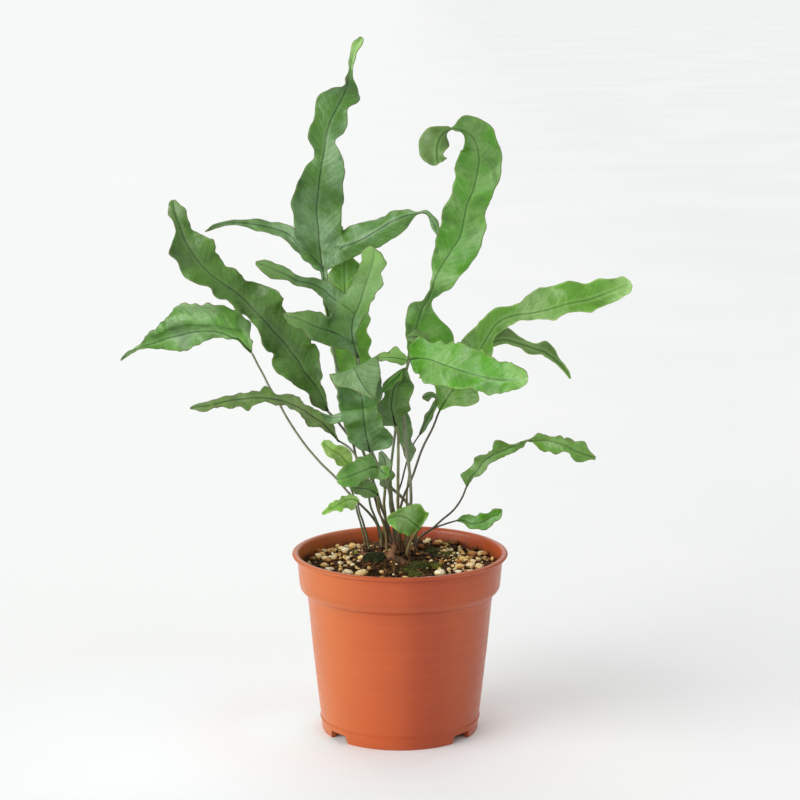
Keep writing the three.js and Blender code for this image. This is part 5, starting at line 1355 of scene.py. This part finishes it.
@dataclass
class Ground:
    """The potting mix that fills the pot: a peat plug with grains, crumbs and moss on its top.

    A mound is its place, its reach along x and y and its height. A moss cushion is its place, its reach,
    its height and how bright it is. Few and only small grains lie less than bare_half from the middle.
    """

    level: float = 92.4
    wall_radius: float = 54.6
    mounds: Rows = ((-4, 15, 17, 15, 6.5), (-13, -4, 11, 9, 3.2), (19, -8, 13, 12, 1.6),
                    (15, 43, 13, 9, 3.0))
    pot: Pot = field(default_factory=Pot)
    finish: GroundFinish = GroundFinish()
    steps: int = 150
    ring_gap: float = 0.95
    pot_gap: float = 0.3
    crumbs: int = 900
    crumb_reach: float = 53.5
    scattered: int = 330
    scatter_reach: float = 52.5
    closeness: float = 0.72
    bare_half: float = 21
    bare_share: float = 0.82
    bare_grain: float = 1.2
    moss: Rows = ((17, 21, 5.5, 2.8, 0.15), (27, 19, 5.5, 2.6, 0.3), (26, 41, 3.6, 2.4, 0.2),
                  (10, -9, 8.0, 2.4, 0.1), (20, -10, 4.2, 2.6, 0.5), (8, -22, 5.5, 2.2, 0.35),
                  (-25, 20, 2.6, 1.6, 0.6), (30, 8, 3.0, 1.5, 0.3), (-12, 40, 4.0, 1.6, 0.25),
                  (2, -42, 5.0, 1.8, 0.3), (-14, -3, 6.5, 3.4, -0.3), (-24.6, 10.8, 1.5, 2.9, 1.5),
                  (4, -17, 5.0, 1.9, 0.2), (22, 12, 4.6, 2.2, 0.1))

    def height(self, x: float, y: float) -> float:
        """Returns the height of the smooth ground at a place."""
        rise = sum(h * math.exp(-(((x - mx) / rx) ** 2 + ((y - my) / ry) ** 2) / 2)
                   for mx, my, rx, ry, h in self.mounds)
        away = math.hypot(x, y)
        return self.level + rise * min(1.0, max(0.0, (self.wall_radius - away) / 9)) + 0.25

    def rough_height(self, x: float, y: float) -> float:
        """Returns the height of the ground with its lumps at a place."""
        lumps = 0.9 * noise.noise(Vector((x, y, 0)) / 6) + 0.75 * noise.noise(Vector((x, y, 7)) / 2.4)
        return self.height(x, y) + lumps

    def plug(self) -> Model:
        """Returns the peat, which fills the pot."""
        pot, inset = self.pot, self.pot.wall + self.pot_gap
        floor_top, band, seam = pot.floor_height + inset, pot.band_foot, pot.seam_radius - inset
        radii = np.arange(self.wall_radius, 0.4, -self.ring_gap)
        bm = turned([
            (0, inset), (pot.centre_foot_radius - 1.2, inset), (pot.centre_foot_radius + 0.9, floor_top),
            (pot.foot_radius - inset - 1.1, floor_top), (seam - 0.1, pot.seam_height + 1.4),
            (pot.body_top_radius - inset, band + 0.8), (pot.body_top_radius + 1 - inset, band + 2),
            (pot.band_radius - 1.5 - inset, band + 4.8), (pot.band_radius - 1.2 - inset, band + 6.4),
            *((radius, self.level) for radius in radii), (0, self.level)], self.steps)
        for vert in bm.verts:
            if vert.co.z > self.level - 0.1:
                vert.co.z = self.rough_height(vert.co.x, vert.co.y)
        return bm

    def pebble(self, bm: Model, dice: random.Random, place: Pair, half: tuple[float, float, float],
               turn: float, tone: float, sunk: float, fineness: int) -> None:
        """Adds an uneven stone to a model.

        Args:
            bm: the model.
            dice: the source of chance.
            place: where on the ground it lies.
            half: its half length, half width and half height.
            turn: its turn on the ground, in degrees.
            tone: its colour, from white at 0 to brown at 1.
            sunk: the share of its half height that it lies below the ground.
            fineness: 1 for 20 faces, 2 for 80 and 3 for 320.
        """
        shade = bm.verts.layers.float["tone"]
        tilt = Matrix.Rotation(dice.uniform(-0.35, 0.35), 4, "X")
        tilt @= Matrix.Rotation(dice.uniform(-0.35, 0.35), 4, "Y")
        turned_by = Matrix.Rotation(math.radians(turn), 4, "Z") @ tilt
        middle = Vector((*place, self.height(*place) + half[2] * (1 - sunk)))
        seed = Vector([dice.uniform(0, 90) for _ in range(3)])
        for vert in bmesh.ops.create_icosphere(bm, subdivisions=fineness, radius=1)["verts"]:
            way = vert.co.normalized()
            size = 1 + 0.30 * noise.noise(way * 1.3 + seed) + 0.10 * noise.noise(way * 3.4 + seed)
            cut = min(0.0, 0.72 - abs(way.dot(seed.normalized())))
            vert.co = turned_by @ Vector([c * h for c, h in zip(way * (size + cut * 0.6), half)]) + middle
            # darker on the sides that face down
            darker_below = 0.5 * max(0.0, 0.25 - (turned_by.to_3x3() @ way).z)
            vert[shade] = min(1.0, tone + darker_below)

    def stones(self) -> Model:
        """Returns the pumice grains: those that can be told apart, then smaller ones by chance."""
        dice = random.Random(11)
        stones = [((x, y), (long, (long + wide) / 2 * 0.95, wide * 0.92), turn, tone.value, 0.25, 3)
                  for x, y, long, wide, turn, tone in GRAINS]
        taken = [(x, y, long) for x, y, long, *_ in GRAINS]
        while len(taken) < len(GRAINS) + self.scattered:
            x, y = scatter(dice, self.scatter_reach)
            hidden = y < -30 or (y > 42 and abs(x) > 24)
            long = dice.triangular(0.7, 3.0 if hidden else 2.0, 1.5 if hidden else 0.95)
            bare = abs(x) < self.bare_half and not hidden
            if bare and (dice.random() < self.bare_share or long > self.bare_grain):
                continue
            if any(math.hypot(x - px, y - py) < (long + size) * self.closeness for px, py, size in taken):
                continue
            tone = dice.choices(list(Tone), (2, 6, 5, 4, 3, 3, 2))[0].value + dice.uniform(-0.05, 0.05)
            half = (long, long * dice.uniform(0.6, 0.9), long * dice.uniform(0.5, 0.8))
            stones.append(((x, y), half, dice.uniform(0, 180), tone, 0.2, 2))
            taken.append((x, y, long))
        return gather(lambda bm, i: self.pebble(bm, dice, *stones[i]), len(stones))

    def litter(self) -> Model:
        """Returns the small peat crumbs."""
        dice = random.Random(5)

        def crumb(bm: Model, _: int) -> None:
            """Adds one crumb."""
            place = scatter(dice, self.crumb_reach)
            long = dice.triangular(0.4, 1.9, 0.7)
            half = (long, long * dice.uniform(0.5, 0.9), long * dice.uniform(0.4, 0.8))
            self.pebble(bm, dice, place, half, dice.uniform(0, 180), dice.uniform(0.80, 1.0), 0.1, 1)

        return gather(crumb, self.crumbs)

    def cushions(self) -> Model:
        """Returns the moss: low cushions set with small pointed leaves."""
        dice = random.Random(3)

        def cushion(bm: Model, n: int) -> None:
            """Adds one cushion."""
            shade = bm.verts.layers.float["tone"]
            x, y, reach, high, bright = self.moss[n]
            ground = self.height(x, y) - 0.8
            for vert in bmesh.ops.create_icosphere(bm, subdivisions=4, radius=1)["verts"]:
                lump = 1 + 0.35 * noise.noise(vert.co * 2.2 + Vector((x, y, 0)))
                lump += 0.12 * noise.noise(vert.co * 9)
                vert.co = Vector((x + vert.co.x * reach * lump, y + vert.co.y * reach * 0.8 * lump,
                                  ground + vert.co.z * high * lump))
                vert[shade] = bright * 0.5
            for _ in range(round(reach * 34)):
                away, angle = math.sqrt(dice.random()), dice.uniform(0, math.tau)
                dx, dy = away * math.cos(angle), away * math.sin(angle)
                lift = high * math.sqrt(max(0.0, 1 - away * away * 0.9))
                lean = Matrix.Rotation(dice.uniform(0, 6.3), 4, "Z")
                lean @= Matrix.Rotation(dice.uniform(0, 0.9), 4, "X")
                spot = Matrix.Translation((x + dx * reach, y + dy * reach * 0.8, ground + lift + 0.2))
                long = dice.uniform(0.7, 1.6)
                leaf = bmesh.ops.create_cone(bm, cap_ends=True, segments=4, radius1=0.26, radius2=0.03,
                                             depth=long, matrix=spot @ lean)["verts"]
                tone = min(1.0, max(0.0, bright + dice.uniform(-0.25, 0.45)))
                for vert in leaf:
                    vert[shade] = tone

        return gather(cushion, len(self.moss), 1)

    def build(self) -> None:
        """Builds and dresses the ground."""
        grain, peat = self.finish.grain(), self.finish.soil()
        dress((to_piece(self.plug(), "soil_peat", (peat,)),
               to_piece(self.stones(), "soil_grains", (grain,), 50),
               to_piece(self.litter(), "soil_crumbs", (grain,), 50),
               to_piece(self.cushions(), "soil_moss", (self.finish.green(),))), "soil")


def scatter(dice: random.Random, reach: float) -> Pair:
    """Returns a place by chance, spread evenly over a round area."""
    away, angle = reach * math.sqrt(dice.random()), dice.uniform(0, math.tau)
    return away * math.cos(angle), away * math.sin(angle)


@dataclass(frozen=True)
class BarkFinish:
    """Dry reddish brown bark with pale scars."""

    bark: Colour = (82, 42, 22)
    dark: Colour = (24, 13, 7)
    pale: Colour = (168, 122, 82)

    def material(self, name: str, fresh: float) -> Material:
        """Returns bark that is paler the fresher it is."""
        s = Shader(name, self.dark)
        s.coat(s.patches(300, 4, 0.38, 0.66), self.bark)
        s.coat(s.patches(150, 3, 0.42, 0.7, fresh * 0.6, min(1.0, fresh + 0.35)), self.pale)
        return s.finish(0.72, s.bump(s.noise(1100, 4), 0.3), Specular_IOR_Level=0.3)


@dataclass
class Rhizome:
    """The creeping rootstock, its roots and the dry scales round the stems' feet.

    A row of the path and of the knot is a place and a radius. A stub is its place on the ground, the
    height of its top and its radius. The first main_roots of the roots are the thicker ones.
    """

    path: Rows = ((7, -9, 94.6, 1.4), (3, -7, 96, 2.2), (-3, -4, 97.2, 3.4), (-9, 0, 97.4, 2.8),
                  (-16, 4, 96.8, 2.8), (-23, 9, 95.4, 2.2), (-29, 14, 94.2, 1.5))
    knot: Rows = ((-5.5, -6, 95, 1.6), (-5.4, -4, 97.5, 2.5), (-4.6, -2, 100, 2.3), (-3.8, 0, 102.4, 1.7),
                  (-3.2, 2, 104.5, 0.9))
    main_roots: int = 6
    roots: tuple[Rows, ...] = (
        ((-4, -1, 102), (-9, -3, 100), (-15, -7, 98.2), (-21, -12, 95.5)),
        ((-10, -3, 99), (-13, -8, 97.5), (-17, -15, 94.6)),
        ((-6, -5, 96.4), (-12, -12, 95.9), (-18, -19, 94.5), (-21, -24, 93.6)),
        ((-6, -7, 95.6), (-8, -14, 94.8), (-8, -21, 94), (-10, -27, 92.8)),
        ((-4.6, -7, 95.4), (-3.4, -15, 94.6), (-3, -22, 93.9), (-1, -30, 92.9)),
        ((-3, 2, 103), (-6, 6, 104), (-8, 11, 102.5), (-10, 16, 99.5)),
        ((-4, 2, 103.4), (-1, 6, 104.5), (1, 10, 102)),
        ((20, 6, 95.6), (23, 8, 96.6), (25, 5, 96.2), (27, 0, 94.4)),
        ((-30, 20, 95), (-24, 25, 96.5), (-18, 27, 98.6), (-12, 28, 100)),
        ((2, -6, 96.5), (8, -12, 95), (10, -20, 95.4), (14, -27, 94)),
    )
    stubs: Rows = ((-10.5, 19, 104, 1.1), (-15, 16, 101.5, 1.0), (-1, 3, 101, 0.8), (12, 9, 99, 0.9),
                   (-21, 13, 99.5, 0.8))
    stub_foot: float = 91
    finish: BarkFinish = BarkFinish()

    def creeping(self) -> Model:
        """Returns the knobbly rootstock with its knot."""
        bm = bmesh.new()
        for rows in (self.path, self.knot):
            line = smooth_path([row[:3] for row in rows], 0.5)
            at = np.linspace(0, len(rows) - 1, len(line))
            add_tube(bm, line, np.interp(at, range(len(rows)), [row[3] for row in rows]), 16)
        bm.normal_update()
        for vert in bm.verts:
            lump = 0.55 * noise.noise(vert.co / 2.6) + 0.3 * noise.noise(vert.co / 1.0)
            vert.co += vert.normal * lump
        return bm

    def threads(self) -> Model:
        """Returns the thin roots and the dead stubs of old stems."""
        bm = bmesh.new()
        for n, rows in enumerate(self.roots):
            line = smooth_path(rows, 1.2)
            line[1:-1] += np.array([noise.noise_vector(Vector(p) / 4) for p in line[1:-1]]) * 0.7
            add_tube(bm, line, np.linspace(0.5 if n < self.main_roots else 0.4, 0.16, len(line)), 7)
        for x, y, top, radius in self.stubs:
            middle = (x + 0.4, y - 0.8, (top + self.stub_foot) / 2)
            line = smooth_path(((x, y, self.stub_foot), middle, (x - 0.2, y - 2, top)), 1.5)
            add_tube(bm, line, np.linspace(radius * 1.3, radius * 0.8, len(line)), 9, 1)
        return bm

    def scales(self) -> Model:
        """Returns the dry pointed scales at the feet of the stems and on the rootstock."""
        dice = random.Random(9)
        feet = [(Vector(shape.stem[0]), Vector(shape.stem[1]), 26, 11.0, 1.6) for shape in FRONDS]
        feet += [(Vector(row[:3]), Vector((row[0], row[1], row[2] + 6)), 12, 1.5, row[3] + 0.4)
                 for row in self.path + self.knot]

        def tuft(bm: Model, n: int) -> None:
            """Adds the scales round one foot."""
            foot, above, count, climb, away = feet[n]
            rise = (above - foot).normalized()
            for _ in range(count):
                angle = dice.uniform(0, math.tau)
                out = Vector((math.cos(angle), math.sin(angle), 0))
                long = dice.uniform(1.6, 4.6)
                place = foot + rise * dice.uniform(climb / 6, climb) + out * dice.uniform(away * 0.4, away)
                way = (rise + out * dice.uniform(0.1, 0.8)).normalized()
                spot = Matrix.Translation(place) @ way.to_track_quat("Z", "X").to_matrix().to_4x4()
                bmesh.ops.create_cone(bm, cap_ends=True, segments=4, radius1=dice.uniform(0.16, 0.42),
                                      radius2=0.03, depth=long, matrix=spot)

        return gather(tuft, len(feet), 1)

    def build(self) -> None:
        """Builds and dresses the rootstock."""
        bark = self.finish.material
        dress((to_piece(self.creeping(), "rhizome_bark", (bark("bark", 0.25),)),
               to_piece(self.threads(), "rhizome_roots", (bark("root", 0.55), bark("dry_stem", 0.95))),
               to_piece(self.scales(), "rhizome_scales", (bark("dry_scale", 0.35),))), "rhizome")


@dataclass(frozen=True)
class Lamp:
    """A far soft light: how far to the left of the camera, how high, how strong and how wide it is."""

    name: str
    azimuth: float
    height: float
    strength: float
    spread: float

    def hang(self) -> None:
        """Adds the light to the scene."""
        light = bpy.data.lights.new(self.name, "SUN")
        light.energy, light.angle = self.strength, math.radians(self.spread)
        made = bpy.data.objects.new(self.name, light)
        a, e = math.radians(self.azimuth), math.radians(self.height)
        towards = Vector((-math.sin(a) * math.cos(e), -math.cos(a) * math.cos(e), math.sin(e)))
        made.rotation_euler = towards.to_track_quat("Z", "Y").to_euler()
        made.location = towards * 2
        bpy.context.scene.collection.objects.link(made)


@dataclass
class Studio:
    """The pale floor, the wide low window light from the left front, the fills and the camera.

    The paper is painted darker towards the right, where the light falls off. Round one spot left of the pot
    it is painted whiter and cooler, and painted cyan light shines out of it round a second spot and ends at
    the pot's axis; both hide the pot's red bounce light.
    """

    camera_place: tuple[float, float, float] = (0.0, -1.2776, 0.4273)
    camera_pitch: float = 10.65
    lens: float = 106.3
    lamps: tuple[Lamp, ...] = (
        Lamp("window_front", 35, 14, 1.25, 50), Lamp("window_middle", 60, 14, 2.3, 50),
        Lamp("window_side", 85, 14, 0.5, 50), Lamp("back", 180, 45, 1.06, 70),
        Lamp("fill_right", -70, 35, 0.71, 70), Lamp("top", 0, 90, 0.2, 20))
    room: float = 0.286
    room_colour: Colour = (250, 251, 252)
    paper: Colour = (243, 245, 243)
    # painted shade: the paper's colour towards the right, where the light falls off
    paper_shaded_right: Colour = (236, 237, 237)
    paper_patch: Colour = (247, 247, 246)
    # painted light: the whiter, cooler colour round a spot left of the pot, which hides the pot's red bounce
    # light
    white: Colour = (250, 255, 255)
    painted_light_spot: Pair = (-0.09, -0.03)
    # painted light: the middle of the cyan light that the floor gives off beside the pot
    painted_glow_spot: Pair = (-0.045, -0.005)
    floor_half: float = 60000

    def build(self) -> None:
        """Builds the camera, the light, the surroundings and the floor."""
        camera = bpy.data.cameras.new("camera")
        camera.lens, camera.sensor_width = self.lens, 36.0
        camera.clip_start, camera.clip_end = 0.05, 200.0
        eye = bpy.data.objects.new("camera", camera)
        eye.location = self.camera_place
        eye.rotation_euler = (math.radians(90 - self.camera_pitch), 0, 0)
        scene = bpy.context.scene
        scene.collection.objects.link(eye)
        scene.camera = eye
        for lamp in self.lamps:
            lamp.hang()
        scene.view_settings.view_transform = "Standard"
        world = bpy.data.worlds.new("room")
        world.use_nodes = True
        light = world.node_tree.nodes["Background"]
        light.inputs[0].default_value, light.inputs[1].default_value = linear(self.room_colour), self.room
        scene.world = world
        self.floor()

    def floor(self) -> None:
        """Builds the pale floor."""
        bm = bmesh.new()
        bmesh.ops.create_grid(bm, x_segments=8, y_segments=8, size=self.floor_half)
        s = Shader("floor_paper", self.paper)
        # painted shade: the paper darkens towards the right, as the light falls off
        s.coat(s.ramp(s.split(s.places)[0], -0.2, 0.6), self.paper_shaded_right)
        s.coat(s.patches(3, 2, 0.3, 0.7, 0.0, 0.3), self.paper_patch)
        # painted light: a whiter, cooler patch left of the pot that hides its red bounce light
        s.coat(s.ramp(s.reach(*self.painted_light_spot), 0.03, 0.22, 1.0, 0.0), self.white)
        # painted light: the floor shines cyan round the pot's left foot, standing in for green and blue
        # light that the pot's red bounce lacks
        painted_glow = s.times(s.ramp(s.reach(*self.painted_glow_spot), 0.012, 0.06, 1.0, 0.0),
                       s.ramp(s.reach(), 0.043, 0.052, 0.0, 0.11))
        paper = s.finish(1.0, Specular_IOR_Level=0.0, Emission_Color=s.join(0.0, 0.95, 1.0),
                         Emission_Strength=painted_glow)
        to_piece(bm, "floor", (paper,))


def write_sizes() -> None:
    """Brings the placements of every piece up to date."""
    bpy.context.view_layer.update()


def main() -> None:
    """Builds the plant from the floor up and reports every piece."""
    logging.basicConfig(level=logging.INFO, format="%(name)s: %(message)s")
    noise.seed_set(1)  # without a seed, noise_vector would be different at every run
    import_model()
    bpy.context.view_layer.update()
    Studio().build()
    Pot().build()
    Ground().build()
    Rhizome().build()
    finishes = Finishes()
    for seed, shape in enumerate(FRONDS, start=1):
        Frond(shape, seed).build(finishes)
    bpy.context.view_layer.update()
    write_sizes()


if __name__ == "__main__":
    main()
